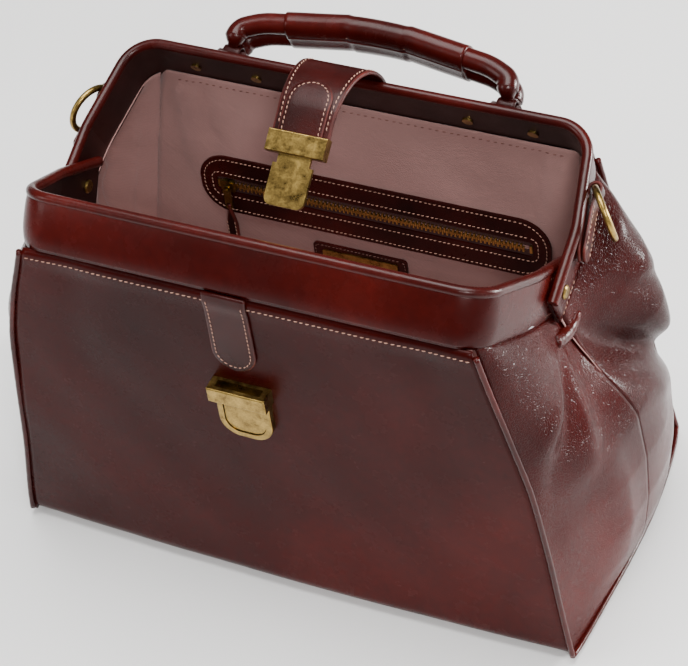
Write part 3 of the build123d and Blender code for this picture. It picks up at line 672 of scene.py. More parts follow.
def gusset(s, rear, nu=45, nv=80, inset=0.0, wrinkle=1.0):
    """Half of a side, from the corner seam (u=0) to the inward crease (u=1)."""
    P = np.zeros((nv, nu, 3))
    for i, q in enumerate(np.linspace(0, 1, nv)):
        zr, zf = 3 + 256 * q, 3 + 265.5 * q
        cr = np.array([bx(zr) + 1.4, by(zr) - 2.0, zr])
        cf = np.array([(XR(zf) if s > 0 else XL(zf)) + 1.2, fy(zf) + 2.0, zf])
        c = cr if rear else cf
        k = crease(s, q)
        zz = c[2]
        if rear:
            amp = np.interp(zz, [3, 12, 43, 96, 140, 191, 223, 245, 259], [6, 12, 20, 27, 33, 36, 31, 19, 1.5])
            if s < 0:
                amp *= 0.9
        else:
            amp = np.interp(zz, [3, 12, 43, 96, 140, 162, 220, 250, 268], [4, 6, 10, 14, 16, 16, 14, 9, 0.6])
            if s < 0:
                amp *= 1.3
        for j, u in enumerate(np.linspace(0, 1, nu)):
            p = c * (1 - u) + k * u
            y, z = p[1], p[2]
            sh = math.sin(math.pi * (1 - u) ** (1.75 if rear else 1.35)) if u < 1 else 0.0
            xu = p[0] + amp * sh
            # lower part: one full bulge across both halves
            U = 0.48 * u if not rear else 1 - 0.52 * u
            low = np.interp(z, [3, 12, 30, 60, 100, 140, 180, 212, 270], [8.0, 14, 21, 29, 35, 37, 30, 14, 0])
            xl = ((XR(z) if s > 0 else XL(z)) + 1.2) * (1 - U) + (bx(z) + 1.4) * U + low * math.sin(math.pi * (U ** 1.38)) ** 0.85
            if rear:
                zl = 196 - 0.86 * (y - k[1])
                t = sstep(-62 + 28 * (1 - u) ** 0.6, 16, z - zl)
            else:
                zl = 196 - 0.30 * abs(y - k[1])
                t = sstep(-62, 16, z - zl)
            x = xl * (1 - t) + xu * t
            win = min(1.0, 2.6 * (1 - u)) * sstep(0, 0.12, u) if rear else 0.0
            # the fold that runs from under the hinge down and back
            x -= wrinkle * 12.0 * fold(z - zl + 4, 15.0) * win
            x += wrinkle * 2.6 * fold(z - zl + 34, 13.0) * win
            side = sstep(0, 0.2, u) * sstep(0, 0.25, 1 - q)
            if not rear:
                ang = math.atan2(-14.2 - y, 222 - z)
                rad = math.hypot(y + 14.2, 222 - z)
                fan = fold(rad - 62, 46)
                x += wrinkle * side * fan * (3.6 * fold(ang - 0.55, 0.13) - 5.0 * fold(ang - 0.86, 0.13) + 2.4 * fold(ang - 1.12, 0.10))
                # soft standing ridge below the crease
                x += wrinkle * 3.2 * fold(y + 38 + 0.22 * (z - 90), 17.0) * sstep(10, 60, z) * (1 - sstep(120, 178, z)) * min(1.0, 4 * (1 - u)) * min(1.0, 5 * u)
            else:
                ang = math.atan2(y + 14.2, 230 - z)
                rad = math.hypot(y + 14.2, 230 - z)
                fan = fold(rad - 62, 40)
                x += wrinkle * side * fan * (2.6 * fold(ang - 1.25, 0.10) - 2.4 * fold(ang - 1.08, 0.10)) * t
                x += wrinkle * 1.8 * fold(z - 62 - 0.3 * y, 17.0) * sh
            edge = min(1.0, 5 * u + 0.05, 5 * (1 - u) + 0.4)
            w = wrinkle * 1.2 * float(wob(p[0] * 1.6, y * 1.6, z * 1.3, 2.7 + s)) * edge * min(1, (1 - q) * 6, q * 8 + 0.2)
            P[i, j] = (s * (x + w * min(1.0, 3.5 * (1 - u)) - inset), y, z)
    # the upper edge is sewn into the lower edge of the frame leg
    x0_ = 165.2 if rear else 159.8
    hp, hn = hoop(x0_)
    lim = (abs(float(P[-1, 0, 0])) - 1.5)
    ok = (hp[:, 0] > 120) & (hp[:, 1] > -13)
    hq = (hp + hn * 2.7)[ok]
    cut = int(np.argmin(abs(hq[:, 0] - lim) + (hq[:, 1] < 60) * 1000))
    hq = hq[:cut + 1]
    ql = np.concatenate([[0], np.cumsum(np.linalg.norm(np.diff(hq, axis=0), axis=1))])
    tgt = []
    for u in np.linspace(0, 1, nu):
        d_ = (1 - u) * ql[-1]
        tgt.append(onf(not rear, s * np.interp(d_, ql, hq[:, 0]), np.interp(d_, ql, hq[:, 1]), 17.6))
    tgt = np.array(tgt)
    tgt[-1] = (s * 165.0, -14.2, 214.5)
    delta = tgt - P[-1]
    delta[-1] = tgt[-1] - P[-1, -1]
    vv = np.linspace(0, 1, nv)[:, None]
    f = np.clip((vv - 0.78) / 0.22, 0, 1)
    f = (f * f * (3 - 2 * f))[..., None]
    P = P + delta[None] * f
    return P


def side_curve(s, rear):
    pts = []
    n = 80
    for q in np.linspace(0.0, 1.0, n):
        if rear:
            z = 6 + 251 * q
            pts.append((s * (bx(z) + 2.2), by(z) - 0.3, z))
        else:
            z = 6 + 261.5 * q
            pts.append((s * ((XR(z) if s > 0 else XL(z)) + 2.0), fy(z) + 0.3, z))
    return pts


for s, nm in ((1, "right"), (-1, "left")):
    gf, gr = gusset(s, False), gusset(s, True)
    of = slab(f"side_{nm}_front", gf, 1.8, L_GUSSET, flip=(s < 0))
    orr = slab(f"side_{nm}_rear", gr, 1.8, L_GUSSET, flip=(s > 0))
    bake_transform(of)
    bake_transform(orr)
    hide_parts(f"gusset_{nm}")
    # welts
    foot = []
    for j in np.linspace(0, 1, 60):
        # along the bottom edge of both halves
        if j < 0.5:
            p = gf[0][int(round(j * 2 * (gf.shape[1] - 1)))]
        else:
            p = gr[0][int(round((1 - (j - 0.5) * 2) * (gr.shape[1] - 1)))]
        foot.append((p[0] + s * 1.0, p[1], 4.4))
    a = side_curve(s, False)
    b = side_curve(s, True)
    cf = soften(resample([(a[0][0] - s * 0.0, a[0][1], a[0][2])] + a[1:], 3.0), 4)
    cb = soften(resample(b, 3.0), 4)
    pf = tube(f"welt_{nm}_front", cf, 1.9, L_ROLL, up=(0, 1, 0), bump=0.04)
    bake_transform(pf)
    pr = tube(f"welt_{nm}_rear", cb, 1.9, L_ROLL, up=(0, 1, 0), bump=0.04)
    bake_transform(pr)
    ft = [tuple(cf[0])] + [p for p in foot[2:-2]] + [tuple(cb[0])]
    pt = tube(f"welt_{nm}_foot", soften(resample(ft, 3.0), 6), 1.9, L_ROLL, up=(0, 0, 1), bump=0.04)
    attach(pt, "bag_body")
    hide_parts(f"piping_{nm}")

for s_, nm in ((1, "right"), (-1, "left")):
    pts = resample(soften(np.array([(s_ * 166.5, -30.0, 208.0), (s_ * 168.0, -24.0, 204.0), (s_ * 169.5, -15.0, 202.0), (s_ * 171.0, -6.0, 203.5), (s_ * 171.5, 1.0, 207.5)]), 1), 1.5)
    rr = 5.6 - 2.6 * np.linspace(0, 1, len(pts)) ** 2
    o = tube(f"hinge_fold_{nm}", pts, rr, L_ROLL, up=(1, 0, 0), m=18, bump=0.03)
    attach(o, "bag_body")
    d_ = pts[0] - pts[2]
    d_ /= np.linalg.norm(d_)
    o = tube(f"hinge_fold_core_{nm}", [pts[0] - d_ * 1.0, pts[0] + d_ * 0.15, pts[0] + d_ * 0.35], [3.3, 3.3, 2.6], CORE, up=(1, 0, 0), m=16)
    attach(o, "bag_body")

# stitches along the front seam, on the panel just below the band
xs = np.linspace(-150, 150, 200)
zq = 264.0
fr = [(x, float(front_y(np.array(x), zq)) - 0.05, zq) for x in xs]
st = stitch_mesh("front_seam_stitches", [(fr, (0, -1, 0.05))], pitch=3.9, length=2.6, r=0.40)
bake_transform(st)
xs = np.linspace(-150, 150, 200)
brz = 255.0
bi = [(x, by(brz) + (1 - (x / 155) ** 2) * 1.4 + 0.25, brz) for x in xs]
# follow the back leather exactly
row = int(np.argmin(abs(BG[:, 40, 2] - brz)))
bi = [tuple(p) for p in BG[row]]
st = stitch_mesh("back_seam_stitches", [(bi[3:-3], (0, 1, 0.05))], pitch=3.9, length=2.6, r=0.40)
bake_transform(st)

# ======================= front tab =======================================
TX = -9.5
zs = np.concatenate([np.linspace(271.5, 223, 26), 223 - 15 * np.sin(np.linspace(0, math.pi / 2, 12)[1:])])
half = np.where(zs > 223, 14.6 + 0.4 * (271 - zs) / 48, np.sqrt(np.maximum(0.3, 15.0 ** 2 - (223 - zs) ** 2)))
ctr = np.array([(TX, float(front_y(np.array(TX), z)) - 1.1, z) for z in zs])
tt, aa, bb = frames_along(ctr, (0, -1, 0))
rings, fm = ribbon_rings(ctr, aa, bb, half, 1.9)
tab = loft("front_tab_leather", rings, [L_STRAP, L_EDGE], fm)
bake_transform(tab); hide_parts("front_tab")
run = []
for z in np.linspace(267, 223, 30):
    run.append((TX - 11.8, z))
for a in np.linspace(math.pi, 2 * math.pi, 20)[1:]:
    run.append((TX + 11.8 * math.cos(a), 223 + 11.8 * math.sin(a)))
for z in np.linspace(223, 267, 30)[1:]:
    run.append((TX + 11.8, z))
run = [(x, float(front_y(np.array(TX), z)) - 2.1, z) for x, z in run]
st = stitch_mesh("front_tab_stitches", [(run, (0, -1, 0))], pitch=3.3, length=2.2, r=0.38)
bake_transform(st)

# ======================= linings =========================================
def lining_wrinkle(P, amp, seed, axis):
    Q = np.array(P)
    nv, nu = Q.shape[:2]
    eu = np.minimum(1, 6 * np.minimum(np.linspace(0, 1, nu), 1 - np.linspace(0, 1, nu)))[None, :]
    ev = np.minimum(1, 5 * np.minimum(np.linspace(0, 1, nv), 1 - np.linspace(0, 1, nv)))[:, None]
    h = wob(Q[..., 0] * 2.0, Q[..., 1] * 2.0, Q[..., 2] * 1.7, seed) + 0.5 * wob(Q[..., 0] * 4.4, Q[..., 1] * 4.1, Q[..., 2] * 1.2, seed + 2)
    Q[..., axis] += amp * h * eu * ev
    return Q


us = np.linspace(-1, 1, 61)
rows = []
for z in np.linspace(7.5, 273.0, 64):
    hw = np.interp(z, [7, 257, 273], [190, 149, 146.5])
    yy = np.interp(z, [7, 250, 262, 273], [fy(7) + 4.6, fy(250) + 4.6, -106.6, -106.3])
    rows.append(np.stack([us * hw, yy + 0 * us, z + 0 * us], 1))
LFg = lining_wrinkle(np.array(rows), 1.0, 4.1, 1)
lf = slab("lining_front_cloth", LFg, 0.6, LINING, flip=False)
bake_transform(lf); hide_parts("lining_front")

rows = []
for z in np.linspace(7.5, 264.8, 96):
    hw = np.interp(z, [7, 120, 240, 265], [194, 176.5, 154.5, 147.8])
    y = np.interp(z, [7, 200, 235, 265], [78.9, 78.9, 80.0, 81.3])
    rows.append(np.stack([us * hw, y + 0 * us, z + 0 * us], 1))
G = np.array(rows)
amp = np.clip((np.maximum(abs(G[..., 2] - 176) - 34, 0)) / 25, 0, 1) + np.clip((abs(G[..., 0] + 2) - 132) / 12, 0, 1)
amp = np.clip(amp, 0, 1)
flat = G.copy()
G2 = lining_wrinkle(G, 1.3, 6.3, 1)
G2[..., 1] += 0.0
LBg = flat + (G2 - flat) * amp[..., None]
# soft upright pleats at the two upper corners
for sx in (-1, 1):
    for k_, (cx_, wd, am) in enumerate(((137, 3.4, -3.4), (127, 3.2, -2.6), (120, 4.0, 1.2))):
        lean_ = cx_ - (258 - LBg[..., 2]) * 0.06
        LBg[..., 1] += am * np.exp(-((sx * LBg[..., 0] - lean_) / wd) ** 2) * np.clip((LBg[..., 2] - 150) / 60, 0, 1) * np.clip((264.8 - LBg[..., 2]) / 14, 0, 1)
lb = slab("lining_back_cloth", LBg, 0.6, LINING, flip=True)
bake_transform(lb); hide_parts("lining_back")

rows = []
for y in np.linspace(-101.5, 78.3, 40):
    q = (y + 101.5) / 180
    rows.append(np.stack([us * (190 + 4 * math.sin(math.pi * q)), y + 0 * us, 7.3 + 0 * us], 1))
LOg = np.array(rows)
h = wob(LOg[..., 0] * 1.5, LOg[..., 1] * 1.5, 0 * LOg[..., 1], 8.0)
LOg[..., 2] += 0.5 * h
lo = slab("lining_base_cloth", LOg, 0.6, LINING, flip=False)
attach(lo, "bag_body"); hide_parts("lining_base")


def leg_in(x0, l):
    """Inner face of a leg at height l, in from the centre."""
    return x0 - SL * max(0.0, l - 35.0)


for s, nm in ((1, "right"), (-1, "left")):
    for rear in (False, True):
        P = gusset(s, rear, nu=45, nv=72, wrinkle=1.0)
        nv, nu = P.shape[:2]
        uu = np.linspace(0, 1, nu)[None, :]
        vv = np.linspace(0, 1, nv)[:, None]
        g_ = np.clip((vv - 0.55) / 0.3, 0, 1) * np.clip((uu - 0.3) / 0.5, 0, 1)
        P[..., 0] -= s * ((6.5 + 6.0 * np.sin(np.pi * uu) ** 0.6 * np.sin(np.pi * np.clip(vv, 0, 1)) ** 0.5) * (1 - g_) + 2.8 * g_)
        if rear:
            yc = 79.2
            P[..., 1] = P[..., 1] + (yc - P[:, :1, 1]) * (1 - uu)
        else:
            P[..., 1] = P[..., 1] + 3.2 * (1 - uu)
        P[..., 2] = 8.0 + (P[..., 2] - 3) * ((P[-1:, :, 2] - 8.0) / (P[-1:, :, 2] - 3))
        P = lining_wrinkle(P, 1.5, 9.0 + s + rear * 3, 0)
        # pleats that hang from the mouth
        for cu, wu, am in ((0.10, 0.028, 4.2), (0.20, 0.040, -1.5), (0.36, 0.045, 4.6), (0.55, 0.05, -1.6), (0.72, 0.040, 4.0)):
            dr = uu - cu - 0.10 * (1 - vv) * (1 if rear else -1)
            P[..., 0] -= s * (am + 0.6) * np.exp(-(dr / wu) ** 2) * np.sin(np.pi * np.clip((vv - 0.35) / 0.65, 0, 1)) ** 0.7
        # the top edge is caught behind the facing of the leg
        x0_ = 165.2 if rear else 159.8
        hp, hn = hoop(x0_)
        ok = (hp[:, 0] > (147.0 if rear else 146.0)) & (hp[:, 1] > -10)
        hq = (hp - hn * 1.1)[ok]
        ql = np.concatenate([[0], np.cumsum(np.linalg.norm(np.diff(hq, axis=0), axis=1))])
        tgt = []
        for u in np.linspace(0, 1, nu):
            d_ = (1 - u) * ql[-1]
            tgt.append(onf(not rear, s * np.interp(d_, ql, hq[:, 0]), np.interp(d_, ql, hq[:, 1]), 15.5))
        delta = np.array(tgt) - P[-1]
        f = np.clip((vv - 0.66) / 0.34, 0, 1)
        f = (f * f * (3 - 2 * f))[..., None]
        P = P + delta[None] * f
        nmz = f"lining_{nm}_{'rear' if rear else 'front'}"
        o = slab(nmz, P, 0.6, LINING, flip=(s > 0) if not rear else (s < 0))
        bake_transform(o)
        if not rear:
            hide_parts(f"lining_{nm}")
        w = float(np.linalg.norm(np.diff(P[nv // 2], axis=0), axis=1).sum()) * 0.001
        ll = float(np.linalg.norm(np.diff(P[:, 2], axis=0), axis=1).sum()) * 0.001
        ar = area_of(P)
        k = max(1.0, ar / (w * ll) * 1.02)

# ======================= strap ===========================================
def arch(phi, r=42.0):
    a = T(phi)
    return (38.2 + r * math.sin(a), 278.3 - r * math.cos(a))


def strap_half(phi):
    return 25.0 - 4.6 * (phi - 115.0) / 85.0


line, halfs = [], []
for w, l in ((18.6, 105.0), (12, 105.1), (5, 105.3), (-1, 105.8), (-6, 106.5), (-10.5, 107.2)):
    p = onf(False, 0, l, w)
    line.append((-6, p[1], p[2])); halfs.append(25.0)
for ph in np.arange(115, 150.1, 2.5):
    line.append((-6, *arch(ph))); halfs.append(strap_half(ph))
nA = len(line)
for ph in np.arange(152.5, 212.1, 2.5):
    line.append((-6, *arch(ph))); halfs.append(strap_half(ph))
e = arch(212)
for d in np.linspace(3, 28.2, 12):
    line.append((-6, e[0] + d * math.cos(T(219)), e[1] + d * math.sin(T(219)))); halfs.append(19.5)
line = np.array(line)
halfs = np.array(halfs)
line[:nA + 6] = soften(line[:nA + 6], 2)
halfs = soften(halfs[:, None], 3)[:, 0]
tt = np.gradient(line, axis=0)
tt /= np.linalg.norm(tt, axis=1, keepdims=True)
aa = np.tile([1.0, 0, 0], (len(line), 1))
bb = np.cross(tt, aa)
# bb must point to the outside of the arch
if (bb[nA] @ (line[nA] - np.array([-6, 38.2, 278.3]))) < 0:
    bb = -bb
rA, fm = ribbon_rings(line[:nA], aa[:nA], bb[:nA], halfs[:nA], 3.0)
rB, fm = ribbon_rings(line[nA - 1:], aa[nA - 1:], bb[nA - 1:], halfs[nA - 1:], 3.0)
pA0, pA1 = arch(114), arch(134)
pB0, pB1 = arch(166), arch(186)
o = loft("strap_upper", rA, [L_STRAP, L_EDGE], fm)
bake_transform(o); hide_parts("strap_anchor")
o = loft("strap_lower", rB, [L_STRAP, L_EDGE], fm)
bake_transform(o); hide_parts("strap_bridge", "strap_tongue")


def strap_run(i0, i1, off, lift):
    return [tuple(line[i] + aa[i] * (off * 1.0 if abs(off) < 1 else np.sign(off) * (halfs[i] - abs(off))) + bb[i] * lift) for i in range(i0, i1)], [tuple(bb[i]) for i in range(i0, i1)]


runs = []
for sg in (-1, 1):
    P_, N_ = strap_run(0, nA, sg * 3.4, 1.5)
    runs.append((P_, N_))
o = stitch_mesh("strap_stitches_upper", runs, pitch=3.6, length=2.5, r=0.40)
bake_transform(o)
runs = []
for sg in (-1, 1):
    P_, N_ = strap_run(nA - 1, len(line) - 7, sg * 3.4, 1.5)
    runs.append((P_, N_))
o = stitch_mesh("strap_stitches_lower", runs, pitch=3.6, length=2.5, r=0.40)
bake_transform(o)

# stitched overlay on the tongue, rounded at its upper end
i0 = nA + 13
L2 = line[i0:] + bb[i0:] * 2.45
s = np.concatenate([[0], np.cumsum(np.linalg.norm(np.diff(L2, axis=0), axis=1))])
q = np.concatenate([np.linspace(0, 1, 10) ** 1.8 * 14.6, np.linspace(15.6, s[-1] - 0.2, 22)])
L3 = np.stack([np.interp(q, s, L2[:, k]) for k in range(3)], 1)
B3 = np.stack([np.interp(q, s, bb[i0:, k]) for k in range(3)], 1)
h3 = np.where(q < 14.6, np.sqrt(np.maximum(0.4, 15.0 ** 2 - (15.0 - q) ** 2)), 15.0)
rO, fm = ribbon_rings(L3, np.tile([1.0, 0, 0], (len(L3), 1)), B3, h3, 1.7)
o = loft("strap_overlay_leather", rO, [L_STRAP, L_EDGE], fm)
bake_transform(o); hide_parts("strap_overlay")
prun, nrun = [], []
hs = 12.4


def at(qq, x):
    c = np.array([np.interp(qq, s, L2[:, k]) for k in range(3)])
    b = np.array([np.interp(qq, s, bb[i0:, k]) for k in range(3)])
    return c + np.array([x, 0, 0]) + b * 0.9, b


for qq in np.linspace(s[-1] - 12, 15, 12):
    p, n = at(qq, -hs); prun.append(p); nrun.append(n)
for a in np.linspace(math.pi, 0, 16)[1:-1]:
    p, n = at(15 - hs * math.sin(a), hs * math.cos(a)); prun.append(p); nrun.append(n)
for qq in np.linspace(15, s[-1] - 12, 12):
    p, n = at(qq, hs); prun.append(p); nrun.append(n)
o = stitch_mesh("strap_overlay_stitches", [(prun, nrun)], pitch=3.2, length=2.2, r=0.38)
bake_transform(o)

# ======================= zip pocket stitching ============================
def stadium_run(cx, half, hh, r, y, cz=176.0):
    pts = []
    for x0, z0, a0 in ((cx + half - r, cz + hh - r, 90), (cx + half - r, cz - hh + r, 0), (cx - half + r, cz - hh + r, -90), (cx - half + r, cz + hh - r, -180)):
        for a in np.linspace(a0, a0 - 90, 10):
            pts.append((x0 + r * math.cos(T(a)), y, z0 + r * math.sin(T(a))))
    pts.append(pts[0])
    return resample(pts, 1.5)


runs = [(stadium_run(-2, 125.0, 22.2, 19.5, 75.9), (0, -1, 0)), (stadium_run(-2, 119.0, 10.2, 6, 75.9), (0, -1, 0))]
o = stitch_mesh("zip_surround_stitches", runs, pitch=3.3, length=2.2, r=0.36)
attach(o, "bag_body")
# patch edge stitches
o = stitch_mesh("patch_stitches", [(stadium_run(-15, 33.4, 11.9, 3, 76.55, 125.5), (0, -1, 0))], pitch=2.8, length=1.9, r=0.30, mat=THREAD_DK)
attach(o, "bag_body")
# dashed line of the lining below the rear bar
zl = 258.5
row = int(np.argmin(abs(LBg[:, 30, 2] - zl)))
pts = [tuple(p + np.array([0, -0.35, 0])) for p in LBg[row]][2:-2]
o = stitch_mesh("lining_stitches", [(resample(pts, 2.0), (0, -1, 0))], pitch=5.0, length=3.0, r=0.50, mat=THREAD_DK)
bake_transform(o)

# ======================= zip thong =======================================
pz = np.linspace(162.6, 107.5, 30)
qx = (162.6 - pz) / 55.0
cx = -108.5 + 0.0 * qx
ctr = np.stack([cx, 71.7 + 0.4 * np.sin(qx * 5), pz], 1)
tt, aa2, bb2 = frames_along(ctr, (0, -1, 0))
hw = np.where(qx < 0.12, 1.35 + 0 * qx, 1.35 + 3.0 * np.clip((qx - 0.12) / 0.22, 0, 1) ** 0.7)
hw = np.where(qx > 0.93, hw * np.sqrt(np.maximum(0.03, 1 - ((qx - 0.93) / 0.072) ** 2)), hw)
rings, fm = ribbon_rings(ctr, aa2, bb2, hw, 3.0)
o = loft("zip_thong_leather", rings, [L_STRAP, L_EDGE], fm)
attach(o, "zip_pull"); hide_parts("zip_thong")
runs = [([(-108.5 + sx * 2.9, 70.15, z) for z in np.linspace(148, 112, 12)], (0, -1, 0)) for sx in (-1, 1)]
o = stitch_mesh("zip_thong_stitches", runs, pitch=3.2, length=2.2, r=0.3)
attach(o, "zip_pull")

# ======================= handle: grip and looped ends ====================
AXH, HB = 112.8, 120.8
ZC_W = 2.7


def hpath(x):
    """Centre line height of the handle arch over x, with the fillets of the strands."""
    t_ = 11.5 / 80.0
    xf = 280.0 * math.tan(math.atan(t_) / 2) * math.cos(math.atan(t_))
    if abs(x) >= xf:
        return 146.0 - t_ * abs(x)
    r = 280.0
    return 146.0 - r * (1 / math.cos(math.atan(t_)) - 1) - (r - math.sqrt(r * r - x * x))


GX = 62.5
gxs = np.concatenate([[-GX - 0.4], np.linspace(-GX, GX, 61), [GX + 0.4]])
rings = []
for k, x in enumerate(gxs):
    hc = hpath(max(-GX, min(GX, x)))
    sl_ = (hpath(x + 0.5) - hpath(x - 0.5))
    tv = np.array([1.0, sl_, 0]) / math.hypot(1, sl_)
    nv_ = np.array([-tv[1], tv[0], 0])
    end = k in (0, len(gxs) - 1)
    ring = []
    for a in np.linspace(0, 2 * math.pi, 40, endpoint=False):
        ca, sa = math.cos(a), math.sin(a)
        ww = 16.9 * math.copysign(abs(ca) ** 0.80, ca)
        hh = 8.9 * math.copysign(abs(sa) ** 0.80, sa) * (1 - (0.10 if sa < 0 else 0.0) * math.exp(-(ww / 3.6) ** 2))
        g = (0.90 if end else 1.0) * (1 + 0.006 * math.sin(x * 0.11) * math.sin(a * 2 + x * 0.03))
        q_ = np.array([x, hc, 0]) + nv_ * (hh * g)
        ring.append(onf(False, q_[0], q_[1], ZC_W + ww * g))
    rings.append(ring)
o = loft("handle_grip_leather", rings, [L_ROLL])
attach(o, "handle"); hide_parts("handle_grip")
# closing seam of the grip, on its lower side, and the ridge of the turned edge
sp, sn, rp_ = [], [], []
for x in np.linspace(-GX + 2, GX - 2, 50):
    hc = hpath(x)
    sp.append(onf(False, x, hc - 7.7, ZC_W - 8.0)); sn.append(-LR * 0.92 - WR * 0.38)
    rp_.append(onf(False, x, hc - 8.4, ZC_W - 4.6))
o = stitch_mesh("handle_grip_stitches", [(sp, sn)], pitch=3.4, length=2.4, r=0.40)
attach(o, "handle")
o = tube("handle_grip_seam", rp_, 0.75, L_ROLL, up=(0, 0, 1), m=8)
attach(o, "handle")
for s_, nm in ((1, "right"), (-1, "left")):
    for w_, tag in ((8.0, "lower"), (-8.0, "upper")):
        pts = []
        for q in np.linspace(0, 1, 16):
            e_ = q * q * (3 - 2 * q)
            l = HB + 2.0 - q * (HB + 2.0 - AXH - 2.6)
            pts.append((onf(False, s_ * (95.0 + 1.0 * e_), l, ZC_W + w_ * (1 - 0.55 * e_)), 7.12 - 3.5 * e_))
        o = tube(f"handle_end_{nm}_{tag}", [p for p, r in pts], [r for p, r in pts], L_ROLL, up=(1, 0, 0), m=20)
        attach(o, "handle")
        if nm == "right" and tag == "upper":
            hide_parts("handle_ends")
    # the loop of leather round the chape's bridge
    rings = []
    for a in np.linspace(0, 2 * math.pi, 25)[:-1]:
        cc = np.array([AXH + 4.7 * math.cos(a), ZC_W + 4.7 * math.sin(a)])
        dr = np.array([math.cos(a), math.sin(a)])
        ring = []
        for b in np.linspace(0, 2 * math.pi, 14, endpoint=False):
            xo = 6.4 * math.copysign(abs(math.cos(b)) ** 0.6, math.cos(b))
            ro = 1.15 * math.copysign(abs(math.sin(b)) ** 0.8, math.sin(b))
            ring.append(onf(False, s_ * 96.0 + xo, cc[0] + dr[0] * ro, cc[1] + dr[1] * ro))
        rings.append(ring)
    rings.append(rings[0])
    V = np.array(rings[:-1]).reshape(-1, 3)
    F = [(i_ * 14 + j_, i_ * 14 + (j_ + 1) % 14, ((i_ + 1) % 24) * 14 + (j_ + 1) % 14, ((i_ + 1) % 24) * 14 + j_) for i_ in range(24) for j_ in range(14)]
    o = new_obj(f"handle_loop_{nm}", V, F, [L_STRAP])
    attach(o, "handle")

# ======================= ring tab stitches ===============================
nx = math.hypot(1, SL)
lean = math.atan(SL)


def leg_pt(l, d):
    x = 165.2 + 4.6 * nx - SL * (l - 35)
    return x + d * math.cos(lean), l + d * math.sin(lean)


for s_, nm in ((1, "right"), (-1, "left")):
    # strip folded over the ring: down the leg inside, round the ring, down outside
    prof_ = [(l, 1.15) for l in np.linspace(20, 58, 12)]
    cl_, cd_ = 67.0, 4.7
    for a in np.linspace(-125, 125, 18):
        prof_.append((cl_ + 4.3 * math.cos(T(a)), cd_ + 4.3 * math.sin(T(a))))
    prof_ += [(l, 4.3 + 0.8 * (l - 20) / 38) for l in np.linspace(57, 20, 12)]
    prof_ = soften(resample(prof_, 1.6), 3)
    cen = []
    for l, d in prof_:
        x, ll = leg_pt(l, d)
        cen.append(onf(False, s_ * x, ll, -2.0))
    cen = np.array(cen)
    tv_ = np.gradient(cen, axis=0)
    tv_ /= np.linalg.norm(tv_, axis=1, keepdims=True)
    av_ = np.tile(WR, (len(cen), 1))
    bv_ = np.cross(av_, tv_) * s_
    hw_ = np.where(prof_[:, 0] > 60, 8.0 - 3.4 * np.clip((prof_[:, 0] - 60) / 5, 0, 1), 8.0)
    endr = np.minimum(1, np.sqrt(np.clip((prof_[:, 0] - 19.9) / 5.0, 0.02, 1)))
    rg_, fm_ = ribbon_rings(cen, av_, bv_, hw_ * np.where(prof_[:, 0] < 25, endr, 1), 1.9)
    o = loft(f"ring_tab_leather_{nm}", rg_, [L_STRAP, L_EDGE], fm_)
    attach(o, "rear_frame"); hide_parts(f"ring_tab_{nm}")
    runs = []
    n3 = np.array([s_ * math.cos(lean), 0, 0]) + LR * math.sin(lean)
    for dz in (-5.8, 5.8):
        pts = []
        for l in np.linspace(25, 56, 12):
            x, ll = leg_pt(l, 4.3 + 0.8 * (l - 20) / 38 + 1.0)
            pts.append(onf(False, s_ * x, ll, -2.0 + dz))
        runs.append((pts, n3))
    o = stitch_mesh(f"ring_tab_stitches_{nm}", runs, pitch=3.4, length=2.3, r=0.38)
    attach(o, "rear_frame")
    # rows of stitches near the feet of both frame legs, on the outside
    for front, x0, body in ((True, 159.8, "front_frame"), (False, 165.2, "rear_frame")):
        runs = []
        for w in (-9.5, 14.5):
            pts = [onf(front, s_ * (x0 + 4.62 - (1.1 * abs((w - 2.9) / 16.6) ** 3 if w < 2.9 else 2.3 * abs((w - 2.9) / 16.6) ** 2.6)), l, w) for l in np.linspace(-11, 15, 12)]
            runs.append((pts, (s_, 0, 0)))
        if front:
            runs = [([p - np.array([s_ * 0.35, 0, 0]) for p in r_[0]], r_[1]) for r_ in runs]
        o = stitch_mesh(f"leg_stitches_{'front' if front else 'rear'}_{nm}", runs, pitch=3.4, length=2.3, r=0.30 if front else 0.36)
        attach(o, body)

# ======================= CAD nodes that stay =============================
def paint(node, mat, bevel=0.0, seg=3, smooth=True):
    ob = bpy.data.objects.get(node)
    if ob is None:
        return
    if not ob.material_slots:
        ob.data.materials.append(mat)
    for sl_ in ob.material_slots:
        sl_.material = mat
    if bevel:
        b = ob.modifiers.new("soft_edges", "BEVEL")
        b.width = bevel * 0.001
        b.segments = seg
        b.limit_method = "ANGLE"
        b.angle_limit = T(35)


for n in ("front_frame_steel", "rear_frame_steel", "lock_back_plate"):
    paint(n, STEEL)
for n in ("front_frame_facing", "rear_frame_facing"):
    paint(n, L_FACE_SHADED, 0.3)
for n in ("front_frame_bead", "rear_frame_bead"):
    paint(n, L_ROLL)
for n in ("hinge_rivets", "chape_rivets"):
    paint(n, BRASS, 0.5)
for n in ("lock_rivets", "ring_left", "ring_right"):
    paint(n, BRASS)
for n in ("zip_stops", "zip_teeth_upper", "zip_teeth_lower"):
    paint(n, TEETH)
for n in ("lock_body", "lock_press_plate", "hasp_clamp", "hasp_plate", "patch_plate", "zip_slider", "zip_pull"):
    paint(n, BRASS, 0.4)
for n in ("chape_left", "chape_right", "zip_surround", "patch_leather"):
    paint(n, L_STRAP, 0.45)
for n in ("handle_strand_upper", "handle_strand_lower"):
    paint(n, L_ROLL)
paint("handle_cores", CORE)
paint("zip_tape_upper", TAPE)
paint("zip_tape_lower", TAPE)
paint("base_board", BOARD)
paint("pocket_bag", BOARD)

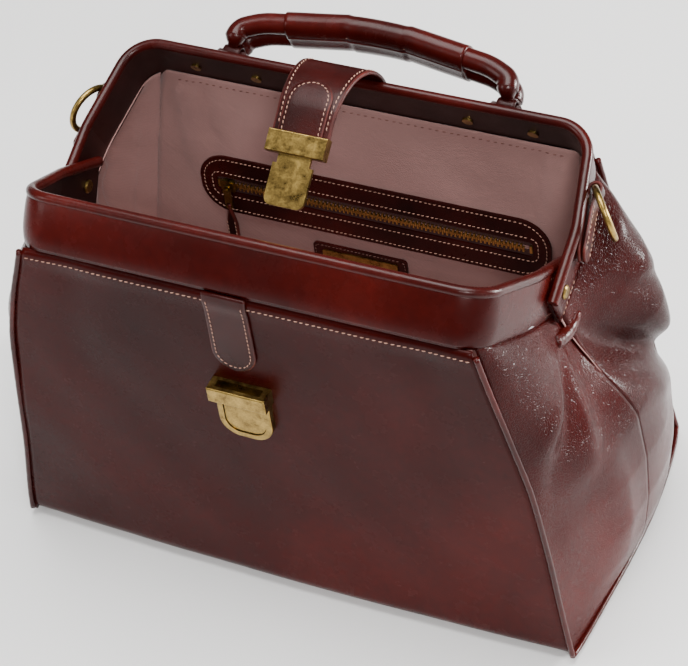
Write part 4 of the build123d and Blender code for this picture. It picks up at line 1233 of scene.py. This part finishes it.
# ======================= stage, light, camera ============================
def floor_material():
    m = M("pale_floor")
    n = m.noise(3.0, 3.0, 0.5)
    m.l(m.ramp(n, [(0.3, (0.86, 0.86, 0.865)), (0.7, (0.90, 0.90, 0.90))]), m.p.inputs["Base Color"])
    m.p.inputs["Roughness"].default_value = 0.75
    m.p.inputs["Specular IOR Level"].default_value = 0.25
    return m.m


me = bpy.data.meshes.new("floor")
me.from_pydata([(-6, -6, -0.0006), (6, -6, -0.0006), (6, 6, -0.0006), (-6, 6, -0.0006)], [], [(0, 1, 2, 3)])
fl = bpy.data.objects.new("floor", me)
bpy.context.scene.collection.objects.link(fl)
me.materials.append(floor_material())

w = bpy.data.worlds.new("studio")
bpy.context.scene.world = w
w.use_nodes = True
bg = w.node_tree.nodes["Background"]
bg.inputs[0].default_value = (1.0, 0.995, 0.985, 1.0)
bg.inputs[1].default_value = 0.17


def area(name, loc, target, size, power, col=(1, 1, 1), size_y=None):
    d = bpy.data.lights.new(name, "AREA")
    d.shape = "RECTANGLE"
    d.size = size
    d.size_y = size_y or size
    d.energy = power
    d.color = col
    o = bpy.data.objects.new(name, d)
    o.location = loc
    o.rotation_euler = (Vector(target) - Vector(loc)).to_track_quat("-Z", "Y").to_euler()
    bpy.context.scene.collection.objects.link(o)
    return o


area("key_right", (1.70, 1.20, 0.56), (0.15, 0.03, 0.18), 0.42, 75, (1, 0.985, 0.96), 0.42)
area("fill_right", (1.9, -0.5, 0.9), (0.1, 0, 0.12), 0.7, 3, (1, 0.98, 0.96), 0.7)
area("top_soft", (0.0, 0.1, 2.4), (0, 0, 0.0), 1.8, 100, (1, 0.99, 0.975), 1.5)
area("by_camera", (0.95, -1.45, 1.75), (0, 0, 0.15), 0.45, 30, (1, 0.99, 0.97), 0.45)
area("front_left", (-1.5, -1.3, 1.2), (0, 0, 0.15), 0.7, 12, (1, 0.98, 0.96), 0.9)

cam = bpy.data.cameras.new("photo_view")
co = bpy.data.objects.new("photo_view", cam)
bpy.context.scene.collection.objects.link(co)
R_, U_, B_ = (0.91282931, 0.39640364, -0.09801429), (-0.2154392, 0.67143009, 0.70906106), (0.34688412, -0.6261356, 0.69830195)
mt = Matrix.Identity(4)
for i in range(3):
    mt[i][0], mt[i][1], mt[i][2] = R_[i], U_[i], B_[i]
mt[0][3], mt[1][3], mt[2][3] = 0.55029, -0.98095, 1.23353
co.matrix_world = mt
cam.sensor_width = 36.0
cam.lens = 124.07
cam.clip_end = 50.0
bpy.context.scene.camera = co
